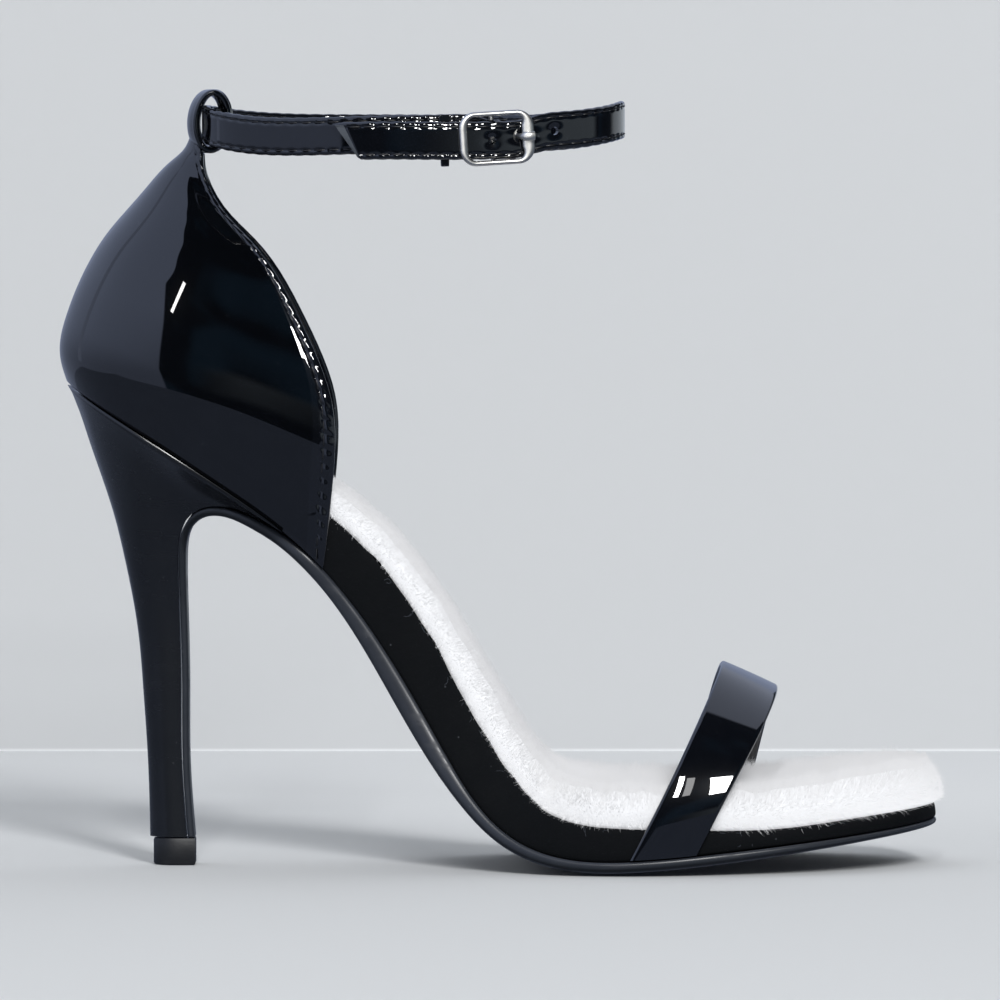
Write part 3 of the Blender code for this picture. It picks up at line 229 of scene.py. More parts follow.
RIM_LEAN, RIM_LEAN_START, RIM_LEAN_LENGTH = 0.5, 0.6, 0.4
LEAN_AHEAD, SWAY_AHEAD, SWAY_ACROSS, HAIR_SPREAD = 0.12, 0.3, 0.4, 0.17
HAIR_DROOP, HAIR_DROOP_TOP, HAIR_DROOP_LENGTH = 0.22, 1.6, 1.4
SOFT_OUT, SOFT_UP, SOFT_NEAR, SOFT_ROUND = 0.5, 0.55, 0.4, 0.1      # the hairs' normals, as of one soft mass
HELD_START, HELD_GAP, HELD_AHEAD, HELD_BAND_SHIFT, HELD_BAND_REACH = 0.5, 0.15, 1.0, 4.0, 5.0
FEATHER, FEATHER_WIDTH, TIP_LENGTH = 1.3, 0.4, 0.9      # edge hairs over the top and at the toe
STRAY_HAIRS = 60
STRAY_START_X, STRAY_END, STRAY_DEPTH = 64.0, 12.0, 0.8
STRAY_TURN, STRAY_LENGTH, STRAY_CURL = (1.5, 0.7), (0.8, 2.6), (0.0, 0.5)
STRAY_LOW, STRAY_HIGH, STRAY_LIFT = 0.6, 0.2, 0.05
STRAY_POINTS, STRAY_RADIUS, STRAY_SIDES = 6, 0.022, 3
FUR_SEED = 5

# The camera's place, from the photograph's framing
CAMERA_TARGET = Vector((-0.00032, -0.00025, 0.08392))
CAMERA_PITCH = math.radians(2.5)
CAMERA_DISTANCE = 2.5
FRAME_WIDTH = 0.23         # metres across the picture at the target
SENSOR_WIDTH = 36.0
CAMERA_REACH = 20.0

# The studio, in metres
WALL_Y, STAGE_REACH = 0.39, 3.0
CARD_FRONT, CARD_REACH = -0.6, 1.2
# The floor's back part is painted lighter: painted light that lifts the shade near the wall
FLOOR_COLOUR, PAINTED_LIGHT_FLOOR_COLOUR = (0.72, 0.735, 0.75), (0.8, 0.815, 0.83)
WALL_COLOUR = (0.6, 0.612, 0.625)
PAINTED_LIGHT_FADE, WALL_FOOT = (0.02, 0.24), 0.001
LIGHT_AIM = Vector((0.0, 0.0, 0.05))
DOME_COLOUR = (0.285, 0.294, 0.305, 1.0)
WINDOW_COLOUR = (0.53, 0.62, 0.87, 1.0)
BACK_COLOUR = (0.56, 0.62, 0.78, 1.0)
ROOM_COLOUR = (0.012, 0.016, 0.022, 1.0)
ROOM_SHAPES_COLOUR = (0.03, 0.062, 0.1, 1.0)
FLOOR_MIRRORED = (0.11, 0.13, 0.185), (0.142, 0.17, 0.235)
EDGE_MIRRORED = (0.36, 0.42, 0.58), (0.4, 0.46, 0.64)
EDGE_AZIMUTH, EDGE_DISTANCE, EDGE_WIDTH, EDGE_HEIGHT = -110.0, 3.0, 0.28, 6.0
GLOW_COLOUR = (0.31, 0.36, 0.4, 1.0)
FAR_GLOW_COLOUR = (0.5, 0.55, 0.6, 1.0)
COUNTER_PIECES = ("counter_patent", "strap_loop")
NICKEL_PIECES = ("buckle_ring", "buckle_bar", "buckle_tongue")
Light = namedtuple("Light", "name azimuth elevation distance width height radiance turn pieces state")
LIGHTS = (
    Light("softbox_left", -3.5, 34.0, 4.5, 0.15, 1.4, 38.0, 0.0, COUNTER_PIECES, "EXCLUDE"),
    Light("softbox_right", 14.0, 30.5, 4.5, 0.58, 1.45, 38.0, 0.0, COUNTER_PIECES, "EXCLUDE"),
    Light("softbox_dim", 0.8, 33.0, 4.5, 0.22, 1.3, 3.0, 0.0, COUNTER_PIECES, "EXCLUDE"),
    Light("strip", -13.0, 32.5, 1.5, 0.05, 0.5, 13.0, -27.0, COUNTER_PIECES, "INCLUDE"),
    Light("buckle_fill", -8.0, 18.0, 1.2, 1.6, 1.2, 0.95, 0.0, NICKEL_PIECES, "INCLUDE"),
)


# Form of the shoe
def spline(knots, rows):
    """Natural cubic spline through the rows, which runs straight on past both ends."""
    knots = np.asarray(knots, float)
    rows = np.asarray(rows, float)
    count = len(knots)
    step = np.diff(knots)
    system = np.eye(count)
    target = np.zeros_like(rows)
    for i in range(1, count - 1):
        system[i, i - 1:i + 2] = step[i - 1], 2 * (step[i - 1] + step[i]), step[i]
        target[i] = 6 * ((rows[i + 1] - rows[i]) / step[i] - (rows[i] - rows[i - 1]) / step[i - 1])
    bend = np.linalg.solve(system, target)

    def at(places):
        places = np.atleast_1d(np.asarray(places, float))
        inside = np.clip(places, knots[0], knots[-1])
        i = np.clip(np.searchsorted(knots, inside) - 1, 0, count - 2)
        h = step[i][:, None]
        a = ((knots[i + 1] - inside) / step[i])[:, None]
        b = 1 - a
        curve = (a ** 3 - a) * bend[i] + (b ** 3 - b) * bend[i + 1]
        turn = (3 * b * b - 1) * bend[i + 1] - (3 * a * a - 1) * bend[i]
        value = a * rows[i] + b * rows[i + 1] + curve * h * h / 6
        slope = (rows[i + 1] - rows[i]) / h + turn * h / 6
        return value + slope * (places - inside)[:, None]

    return at


def running_length(points):
    """Distance along a row of points, from its first one."""
    steps = np.linalg.norm(np.diff(np.asarray(points, float), axis=0), axis=1)
    return np.concatenate([[0.0], np.cumsum(steps)])


def ease(value):
    """Smooth step from 0 to 1."""
    value = np.clip(value, 0.0, 1.0)
    return value * value * (3 - 2 * value)


def rounded(distance, reach):
    """Width of a round end at a distance from its tip, as a part of its full width."""
    return (1 - np.exp(-(np.maximum(distance, 0.0) / reach) ** ROUND_POWER)) ** ROUND_ROOT


def unit(vectors):
    return vectors / np.linalg.norm(vectors, axis=-1)[..., None]


def make_lay(line, crown):
    """A function that lays points on a bent sheet: along its line, across it, and up from it."""
    def lay(arc, y, level):
        arc, y, level = np.broadcast_arrays(*np.atleast_1d(arc, y, level))
        place = line(arc)
        ahead = line(arc + SLOPE_STEP) - line(arc - SLOPE_STEP)
        ahead /= np.linalg.norm(ahead[:, :2], axis=1)[:, None]
        height = level + crown(arc, y)
        return np.stack([place[:, 0] - ahead[:, 1] * height, y, place[:, 1] + ahead[:, 0] * height], axis=1)

    return lay


LAST_KNOTS = running_length([(row.x, row.z) for row in LAST])
LAST_LENGTH = LAST_KNOTS[-1]
last_line = spline(LAST_KNOTS, [row[1:] for row in LAST])


def last_value(arc, name):
    """One column of the last's table, at places along it."""
    return last_line(arc)[:, LastRow._fields.index(name) - 1]


LAST_ARCS = np.linspace(0.0, LAST_LENGTH, LAST_SAMPLES)
LAST_X = last_value(LAST_ARCS, "x")


def last_arc(x):
    """Place along the last that lies at x."""
    return float(np.interp(x, LAST_X, LAST_ARCS))


def last_half_width(arc, outset):
    """Half width of the insole's outline, moved out by outset."""
    width = last_value(arc, "half_width") + outset
    return width * rounded(arc + outset, HEEL_REACH) * rounded(LAST_LENGTH + outset - arc, TOE_REACH)


def last_crown(arc, y):
    """How far the bottom of the last rises from its middle to its edges."""
    across = (y - last_value(arc, "shift")) / last_value(arc, "half_width")
    return last_value(arc, "crown") * across ** 2


lay_on_last = make_lay(last_line, last_crown)


def eased_places(start, end, count, round_start):
    """Places from start to end, drawn together at the round end and, where it is round, at the start."""
    close = ROUND_LENGTH * (np.arange(ROUND_COUNT) / ROUND_COUNT) ** 2
    head = start + close if round_start else []
    first = start + ROUND_LENGTH if round_start else start
    middle = np.linspace(first, end - ROUND_LENGTH, count)
    return np.concatenate([head, middle, end - close[::-1]])


def last_outline(outset, fluff=0.0):
    """Both edges of the insole's outline at matching places, moved out by outset and at the toe by fluff."""
    arcs = eased_places(END_STOP - outset, LAST_LENGTH + outset + fluff - END_STOP, LAST_COUNT, True)
    toe = ease((arcs - LAST_LENGTH + TOE_FLUFF_LENGTH) / TOE_FLUFF_LENGTH)
    width = last_half_width(arcs, outset + fluff * toe)
    middle = last_value(arcs, "shift")
    return arcs, middle - width, middle + width


def fur_outline(outset):
    return last_outline(outset, TOE_FLUFF)


SoleRow = namedtuple("SoleRow", "x z half_width shift crown thickness")


def sole_outset(x):
    """How far the sole shows round the insole."""
    spread = SOLE_OUTSET * ease((x - SOLE_LEAVES_LAST_X) / SOLE_OUTSET_LENGTH)
    return float(spread - TOE_TRIM * ease((x - TOE_TRIM_X) / TOE_TRIM_LENGTH))


def make_sole_line():
    """The sole's line: up the heel's breast, round the throat and on under the last to the toe."""
    rows = [SoleRow(row.breast_x, row.breast_z, row.breast_half_width, 0.0, 0.0, row.flap) for row in HEEL]
    for arc in np.linspace(last_arc(SOLE_LEAVES_LAST_X), LAST_LENGTH, SOLE_ROWS_ON_LAST):
        x, y, z = lay_on_last(arc, last_value(arc, "shift"), -GAP)[0]
        here = LastRow("", *last_line(arc)[0])
        rows.append(SoleRow(x, z, here.half_width + sole_outset(x), y, here.crown, here.sole))
    knots = running_length([row[:2] for row in rows])
    return spline(knots, rows), knots


sole_line, SOLE_KNOTS = make_sole_line()
SOLE_LENGTH = SOLE_KNOTS[-1]
HEEL_KNOTS = SOLE_KNOTS[:len(HEEL)]
HEEL_PLACES = np.interp(np.linspace(0, len(HEEL) - 1, HEEL_COUNT), np.arange(len(HEEL)), HEEL_KNOTS)


def sole_value(arc, name):
    """One value of the sole's line, at places along it."""
    return sole_line(arc)[:, SoleRow._fields.index(name)]


def sole_crown(arc, y):
    across = (y - sole_value(arc, "shift")) / sole_value(arc, "half_width")
    return sole_value(arc, "crown") * across ** 2


lay_on_sole = make_lay(sole_line, sole_crown)


def sole_outline(outset):
    """Both edges of the sole, moved in or out; the end at the heel's tip is cut straight."""
    tip = SOLE_LENGTH + SOLE_OUTSET - TOE_TRIM + outset
    arcs = eased_places(HEEL_KNOTS[-1], tip - END_STOP, SOLE_COUNT, False)
    arcs = np.concatenate([HEEL_PLACES[:-1], arcs])
    width = (sole_value(arcs, "half_width") + outset) * rounded(tip - arcs, TOE_REACH)
    middle = sole_value(arcs, "shift")
    return arcs, middle - width, middle + width


# Meshes
def grid_faces(rows, columns, round_rows=False, round_columns=False):
    """Quads of a grid of points that are stored row by row."""
    i = np.arange(rows if round_rows else rows - 1)[:, None]
    j = np.arange(columns if round_columns else columns - 1)[None, :]
    after_i, after_j = (i + 1) % rows, (j + 1) % columns
    corners = (i * columns + j, after_i * columns + j, after_i * columns + after_j, i * columns + after_j)
    return np.stack(np.broadcast_arrays(*corners), axis=-1).reshape(-1, 4).tolist()


def grid_normals(points):
    """Unit normals of a grid of points."""
    return unit(np.cross(np.gradient(points, axis=0), np.gradient(points, axis=1)))


def rounded_wall(outer, inner, first_steps, last_steps):
    """Rings round a thin wall: outside, one edge, inside back, other edge; an edge with no steps is flat."""
    def edge(first, second, ahead, steps):
        centre = (first + second) / 2
        half = (first - second) / 2
        ahead = unit(ahead - half * ((ahead * half).sum(-1) / (half * half).sum(-1))[..., None])
        reach = np.linalg.norm(half, axis=-1)
        angles = np.linspace(0.0, math.pi, steps + 2)[1:-1, None]
        across = np.cos(angles) * half[:, None, :] + np.sin(angles) * (ahead * reach[:, None])[:, None, :]
        return centre[:, None, :] + across

    last = edge(outer[:, -1], inner[:, -1], outer[:, -1] - outer[:, -2], last_steps)
    first = edge(inner[:, 0], outer[:, 0], outer[:, 0] - outer[:, 1], first_steps)
    return np.concatenate([outer, last, inner[:, ::-1], first], axis=1)


def wall_mesh(outer, inner, first_steps=EDGE_STEPS, last_steps=EDGE_STEPS):
    """Vertices and faces of a closed thin wall with two edges, round or flat, and two cut ends."""
    rings = rounded_wall(outer, inner, first_steps, last_steps)
    rows, columns = rings.shape[:2]
    faces = grid_faces(rows, columns, round_columns=True)
    across = outer.shape[1]
    far = across + last_steps
    for start in (0, (rows - 1) * columns):
        for j in range(across - 1):
            back = start + far + across - 1 - j
            faces.append((start + j, start + j + 1, back - 1, back))
        if last_steps:
            faces.append([start + j for j in range(across - 1, far + 1)])
        if first_steps:
            faces.append([start + j for j in range(far + across - 1, columns)] + [start])
    return rings.reshape(-1, 3), faces


def join_meshes(meshes):
    """One list of vertices and one of faces from several meshes."""
    vertices, faces, count = [], [], 0
    for places, parts in meshes:
        vertices.append(places)
        faces += [[count + i for i in face] for face in parts]
        count += len(places)
    return np.concatenate(vertices), faces


def seam_relief(inset, run, stitch_in, bead):
    """Relief of a stitched edge: a groove with needle holes, and a roll that is beaded between them."""
    from_hole = ((run / STITCH_PITCH + 0.5) % 1.0 - 0.5) * STITCH_PITCH
    hole = np.exp(-(from_hole / NEEDLE_WIDTH) ** 2)
    groove = np.exp(-((inset - stitch_in) / SEAM_WIDTH) ** 2)
    roll = np.exp(-((inset - ROLL_AT * stitch_in) / (ROLL_WIDTH * stitch_in)) ** 2)
    return PUCKER * roll * (1 - bead * hole) - groove * (SEAM_DEPTH + NEEDLE_DEPTH * hole)


def line_across(grid, measure, value):
    """The points of a grid's rows where a measure that falls along each row reaches a value."""
    line = []
    for row, numbers in zip(grid, measure):
        line.append([np.interp(-value, -numbers, row[:, axis]) for axis in range(3)])
    return np.array(line)


def stitch_row(line, normals):
    """Meshes of the stitches along a line of points on a surface."""
    run = running_length(line)
    meshes = []
    for number in range(int(run[-1] // STITCH_PITCH)):
        parts = np.linspace(-1.0, 1.0, THREAD_RINGS)
        places = (number + 0.5) * STITCH_PITCH + parts * STITCH_LENGTH / 2
        path = np.stack([np.interp(places, run, line[:, axis]) for axis in range(3)], axis=1)
        lift = np.stack([np.interp(places, run, normals[:, axis]) for axis in range(3)], axis=1)
        path = path + lift * (THREAD_LIFT - THREAD_DIVE * parts ** 4)[:, None]
        meshes.append(tube(path, THREAD_RADIUS, THREAD_SIDES))
    return meshes


def show(item):
    bpy.context.scene.collection.objects.link(item)


def make_piece(name, vertices, faces, material, slot, nodes=(), normals=None):
    """A mesh in the frame, shaded smooth up to its edges, which rides on the shoe."""
    mesh = bpy.data.meshes.new(name)
    places = (np.asarray(vertices, float) - (ORIGIN_X, ORIGIN_Y, 0.0)) * MM
    mesh.from_pydata(places.tolist(), [], faces)
    mesh.materials.append(material)
    mesh.shade_smooth()
    if normals is None:
        mesh.set_sharp_from_angle(angle=SHARP_ANGLE)
    else:
        mesh.normals_split_custom_set_from_vertices(normals.tolist())
    piece = bpy.data.objects.new(name, mesh)
    show(piece)
    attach(piece, "root")
    if nodes:
        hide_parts(*nodes)
    return piece


def face_out(piece):
    """Turns all faces of a closed mesh outwards."""
    shape = bmesh.new()
    shape.from_mesh(piece.data)
    bmesh.ops.recalc_face_normals(shape, faces=shape.faces)
    shape.to_mesh(piece.data)
    shape.free()
    return piece


def make_solid(name, vertices, faces, material, slot, node):
    """A closed piece in place of a node, with all its faces turned outwards."""
    return face_out(make_piece(name, vertices, faces, material, slot, [node]))


def plate(lay, outline, profile, columns):
    """Vertices and faces of a plate: rings of an outline from its underside to its top, and both faces."""
    vertices, faces = [], []
    rings = []
    for outset, level in profile:
        arcs, outer, inner = outline(outset)
        ring = np.concatenate([lay(arcs, outer, level(arcs)), lay(arcs, inner, level(arcs))[::-1]])
        rings.append(range(len(vertices), len(vertices) + len(ring)))
        vertices.extend(ring)
    size = len(rings[0])
    half = size // 2
    faces += grid_faces(len(rings), size, round_columns=True)
    for ring, (outset, level) in ((rings[0], profile[0]), (rings[-1], profile[-1])):
        arcs, outer, inner = outline(outset)
        inside = slice(1, half - 1)
        grid = [ring[inside]]
        for part in np.linspace(0.0, 1.0, columns + 1)[1:-1]:
            grid.append(range(len(vertices), len(vertices) + half - 2))
            across = outer + (inner - outer) * part
            vertices.extend(lay(arcs[inside], across[inside], level(arcs[inside])))
        grid.append(ring[half + 1:size - 1][::-1])
        for near, far in zip(grid, grid[1:]):
            for i in range(half - 3):
                faces.append((near[i], near[i + 1], far[i + 1], far[i]))
        faces.append((ring[0], *(row[0] for row in grid), ring[size - 1]))
        faces.append((ring[half - 1], *(row[-1] for row in grid), ring[half]))
    return np.array(vertices), faces


def edge_profile(rows, level):
    """A plate's edge as a smooth line through its rows: outsets, and functions that give the level."""
    fine = spline(np.arange(len(rows)), rows)(np.linspace(0, len(rows) - 1, EDGE_ROWS))
    return [(outset, level(part)) for outset, part in fine]


def tube(path, radius, sides):
    """Vertices and faces of a round rod along a path of points, with flat ends."""
    path = np.asarray(path, float)
    ahead = unit(np.gradient(path, axis=0))
    side = np.eye(3)[np.argmin(np.abs(ahead).max(axis=0))]
    angles = 2 * math.pi * np.arange(sides) / sides
    rings = []
    for place, forward in zip(path, ahead):
        side = side - forward * side.dot(forward)
        side /= np.linalg.norm(side)
        other = np.cross(forward, side)
        rings.append(place + radius * (np.cos(angles)[:, None] * side + np.sin(angles)[:, None] * other))
    faces = grid_faces(len(path), sides, round_columns=True)
    faces.append(list(range(sides)))
    faces.append(list(range((len(path) - 1) * sides, len(path) * sides)))
    return np.concatenate(rings), faces


# Finishes
TONE_RANGE = 0.2, 0.8      # of the nap, where its roughness follows it
# Painted light on the sole: a near black where it faces down is painted shade, and the lighter arch tones
# are a painted reflection
SOLE_PAINTED_UNDER_SHADE = (0.004, 0.005, 0.006, 1.0)
ARCH_SHEEN_X, ARCH_SHEEN_Z = (-0.055, -0.038), (0.01, 0.03)      # where the sole takes the painted sheen along the arch, in metres
ARCH_PAINTED_SHEEN_TONES = (0.02, 0.023, 0.03), (0.028, 0.032, 0.041)
SPECK_SCALE, SPECK_EDGE = 420.0, (0.13, 0.05)
RARE_SCALE, RARE_EDGE = 330.0, (0.62, 0.7)
STREAK_STRETCH, STREAK_SCALE, STREAK_EDGE = (0.25, 1.0, 1.4), 190.0, (0.52, 0.72)
NAP_STRETCH, NAP_PATCHES = (0.3, 1.0, 1.0), 160.0


def feed(tree, socket, value):
    """Links a socket to another one, or sets its number or colour."""
    if isinstance(value, bpy.types.NodeSocket):
        tree.links.new(value, socket)
    else:
        socket.default_value = value


def calc(tree, operation, *values):
    """Result of a Math node."""
    made = tree.nodes.new("ShaderNodeMath")
    made.operation = operation
    for socket, value in zip(made.inputs, values):
        feed(tree, socket, value)
    return made.outputs[0]


def weighted(tree, *terms):
    """Sum of values times their weights."""
    total = calc(tree, "MULTIPLY", *terms[0])
    for value, weight in terms[1:]:
        total = calc(tree, "ADD", total, calc(tree, "MULTIPLY", value, weight))
    return total


def smooth(tree, value, low, high, at_low=0.0, at_high=1.0):
    """Result of a smooth step from one value to another."""
    made = tree.nodes.new("ShaderNodeMapRange")
    made.interpolation_type = "SMOOTHSTEP"
    names = "Value", "From Min", "From Max", "To Min", "To Max"
    for name, number in zip(names, (value, low, high, at_low, at_high)):
        feed(tree, made.inputs[name], number)
    return made.outputs["Result"]


def mix_colours(tree, part, first, second):
    made = tree.nodes.new("ShaderNodeMix")
    made.data_type = "RGBA"
    for place, value in ((0, part), (6, first), (7, second)):
        feed(tree, made.inputs[place], value)
    return made.outputs[2]


def noise(tree, place, scale, detail=2.0, roughness=0.5, distortion=0.0):
    """Height of a noise at a place; scale is in waves for each metre."""
    made = tree.nodes.new("ShaderNodeTexNoise")
    values = {"Vector": place, "Scale": scale, "Detail": detail,
              "Roughness": roughness, "Distortion": distortion}
    for name, value in values.items():
        feed(tree, made.inputs[name], value)
    return made.outputs["Fac"]


def new_group(name, inputs, outputs):
    """An effect with named inputs and outputs: its tree, the input sockets, and the node for its outputs."""
    group = bpy.data.node_groups.new(name, "ShaderNodeTree")
    for label in inputs:
        group.interface.new_socket(label, in_out="INPUT", socket_type="NodeSocketFloat")
    for label in outputs:
        group.interface.new_socket(label, in_out="OUTPUT", socket_type="NodeSocketFloat")
    return group, group.nodes.new("NodeGroupInput").outputs, group.nodes.new("NodeGroupOutput").inputs


def surface_place(tree, stretch=(1.0, 1.0, 1.0)):
    """The place on the piece in metres, drawn out along an axis where that is wanted."""
    made = tree.nodes.new("ShaderNodeMapping")
    made.inputs["Scale"].default_value = stretch
    tree.links.new(tree.nodes.new("ShaderNodeTexCoord").outputs["Object"], made.inputs["Vector"])
    return made.outputs["Vector"]


def make_grain_group():
    """Grain of leather or rubber: fine pebbles over soft unevenness, and a tone that varies slowly."""
    group, given, result = new_group("fine_grain", ("Grain", "Unevenness"), ("Height", "Tone"))
    place = surface_place(group)
    fine = noise(group, place, given["Grain"], 3.0, 0.6)
    broad = noise(group, place, given["Unevenness"], 2.0)
    feed(group, result["Height"], calc(group, "ADD", calc(group, "MULTIPLY", fine, 0.35), broad))
    feed(group, result["Tone"], broad)
    return group


def make_dust_group():
    """Specks of dust and faint rubbed streaks, as a mask."""
    group, given, result = new_group("dust_and_rub", ("Specks", "Streaks"), ("Dust", "Rub"))
    specks = group.nodes.new("ShaderNodeTexVoronoi")
    specks.inputs["Scale"].default_value = SPECK_SCALE
    feed(group, specks.inputs["Vector"], surface_place(group))
    speck = smooth(group, specks.outputs["Distance"], *SPECK_EDGE)
    rare = smooth(group, noise(group, surface_place(group), RARE_SCALE, 0.0), *RARE_EDGE)
    shown = calc(group, "MULTIPLY", speck, rare)
    feed(group, result["Dust"], calc(group, "MULTIPLY", shown, given["Specks"]))
    streak = noise(group, surface_place(group, STREAK_STRETCH), STREAK_SCALE, 4.0, 0.6, 0.4)
    rubbed = smooth(group, streak, *STREAK_EDGE)
    feed(group, result["Rub"], calc(group, "MULTIPLY", rubbed, given["Streaks"]))
    return group


def make_nap_group():
    """Nap of a brushed cloth or fur: short fibres drawn out along the shoe."""
    group, given, result = new_group("nap", ("Fibres",), ("Height", "Tone"))
    fibres = noise(group, surface_place(group, NAP_STRETCH), given["Fibres"], 4.0, 0.7, 0.6)
    patches = noise(group, surface_place(group), NAP_PATCHES, 2.0)
    feed(group, result["Height"], fibres)
    feed(group, result["Tone"], weighted(group, (fibres, 0.6), (patches, 0.4)))
    return group


GRAIN, DUST, NAP = make_grain_group(), make_dust_group(), make_nap_group()
Marks = namedtuple("Marks", "specks streaks dust rubbed roughness", defaults=(None, None, None))


def new_material(name, colour, roughness, **sockets):
    """A material, its tree and its shader, with the constants set on the shader's own sockets."""
    material = bpy.data.materials.new(name)
    material.use_nodes = True
    shader = material.node_tree.nodes["Principled BSDF"]
    shader.inputs["Base Color"].default_value = (*colour, 1.0)
    shader.inputs["Roughness"].default_value = roughness
    for socket, value in sockets.items():
        shader.inputs[socket.replace("_", " ")].default_value = value
    return material, material.node_tree, shader


def use_group(tree, group, values):
    """Places an effect in a material with its own values."""
    made = tree.nodes.new("ShaderNodeGroup")
    made.node_tree = group
    for name, value in values.items():
        made.inputs[name].default_value = value
    return made.outputs


def add_bump(tree, shader, height, strength, depth):
    """Bump from a height, with its depth in millimetres."""
    bump = tree.nodes.new("ShaderNodeBump")
    bump.inputs["Strength"].default_value = strength
    bump.inputs["Distance"].default_value = depth * MM
    feed(tree, bump.inputs["Height"], height)
    feed(tree, shader.inputs["Normal"], bump.outputs["Normal"])


def vary(tree, part, low, high):
    """A colour between two others."""
    return mix_colours(tree, part, (*low, 1.0), (*high, 1.0))


def finish(name, colour, roughness, effect, tones, bump=None, marks=None, tone_roughness=None,
           recolour=None, **sockets):
    """A material in two tones that follow an effect, with bump and marks where they are given."""
    material, tree, shader = new_material(name, colour, roughness, **sockets)
    surface = use_group(tree, *effect)
    shade = vary(tree, surface["Tone"], *tones)
    if recolour:
        shade = recolour(tree, shade, surface["Tone"])
    if tone_roughness:
        feed(tree, shader.inputs["Roughness"], smooth(tree, surface["Tone"], *TONE_RANGE, *tone_roughness))
    if marks:
        made = use_group(tree, DUST, {"Specks": marks.specks, "Streaks": marks.streaks})
        if marks.dust:
            shade = mix_colours(tree, made["Dust"], shade, (*marks.dust, 1.0))
        if marks.rubbed:
            shade = mix_colours(tree, made["Rub"], shade, (*marks.rubbed, 1.0))
        if marks.roughness:
            feed(tree, shader.inputs["Roughness"], smooth(tree, made["Rub"], 0.0, 1.0, *marks.roughness))
    feed(tree, shader.inputs["Base Color"], shade)
    if bump:
        add_bump(tree, shader, surface["Height"], *bump)
    return material


def grain(size, unevenness):
    return GRAIN, {"Grain": size, "Unevenness": unevenness}


def nap(fibres):
    return NAP, {"Fibres": fibres}


def sole_painted_light(tree, shade, tone):
    """The sole's colour with painted light: painted shade where it faces down, and a lighter painted sheen
    along the arch.
    """
    facing = tree.nodes.new("ShaderNodeSeparateXYZ")
    feed(tree, facing.inputs[0], tree.nodes.new("ShaderNodeNewGeometry").outputs["Normal"])
    # Painted shade: the sole turns near black where it faces down
    shade = mix_colours(tree, smooth(tree, facing.outputs[2], 0.0, -0.5), shade, SOLE_PAINTED_UNDER_SHADE)
    place = tree.nodes.new("ShaderNodeSeparateXYZ")
    feed(tree, place.inputs[0], surface_place(tree))
    # Painted reflection: a lighter tone along the arch, placed by position
    ahead, above = smooth(tree, place.outputs[0], *ARCH_SHEEN_X), smooth(tree, place.outputs[2], *ARCH_SHEEN_Z)
    return mix_colours(tree, calc(tree, "MULTIPLY", ahead, above), shade, vary(tree, tone, *ARCH_PAINTED_SHEEN_TONES))


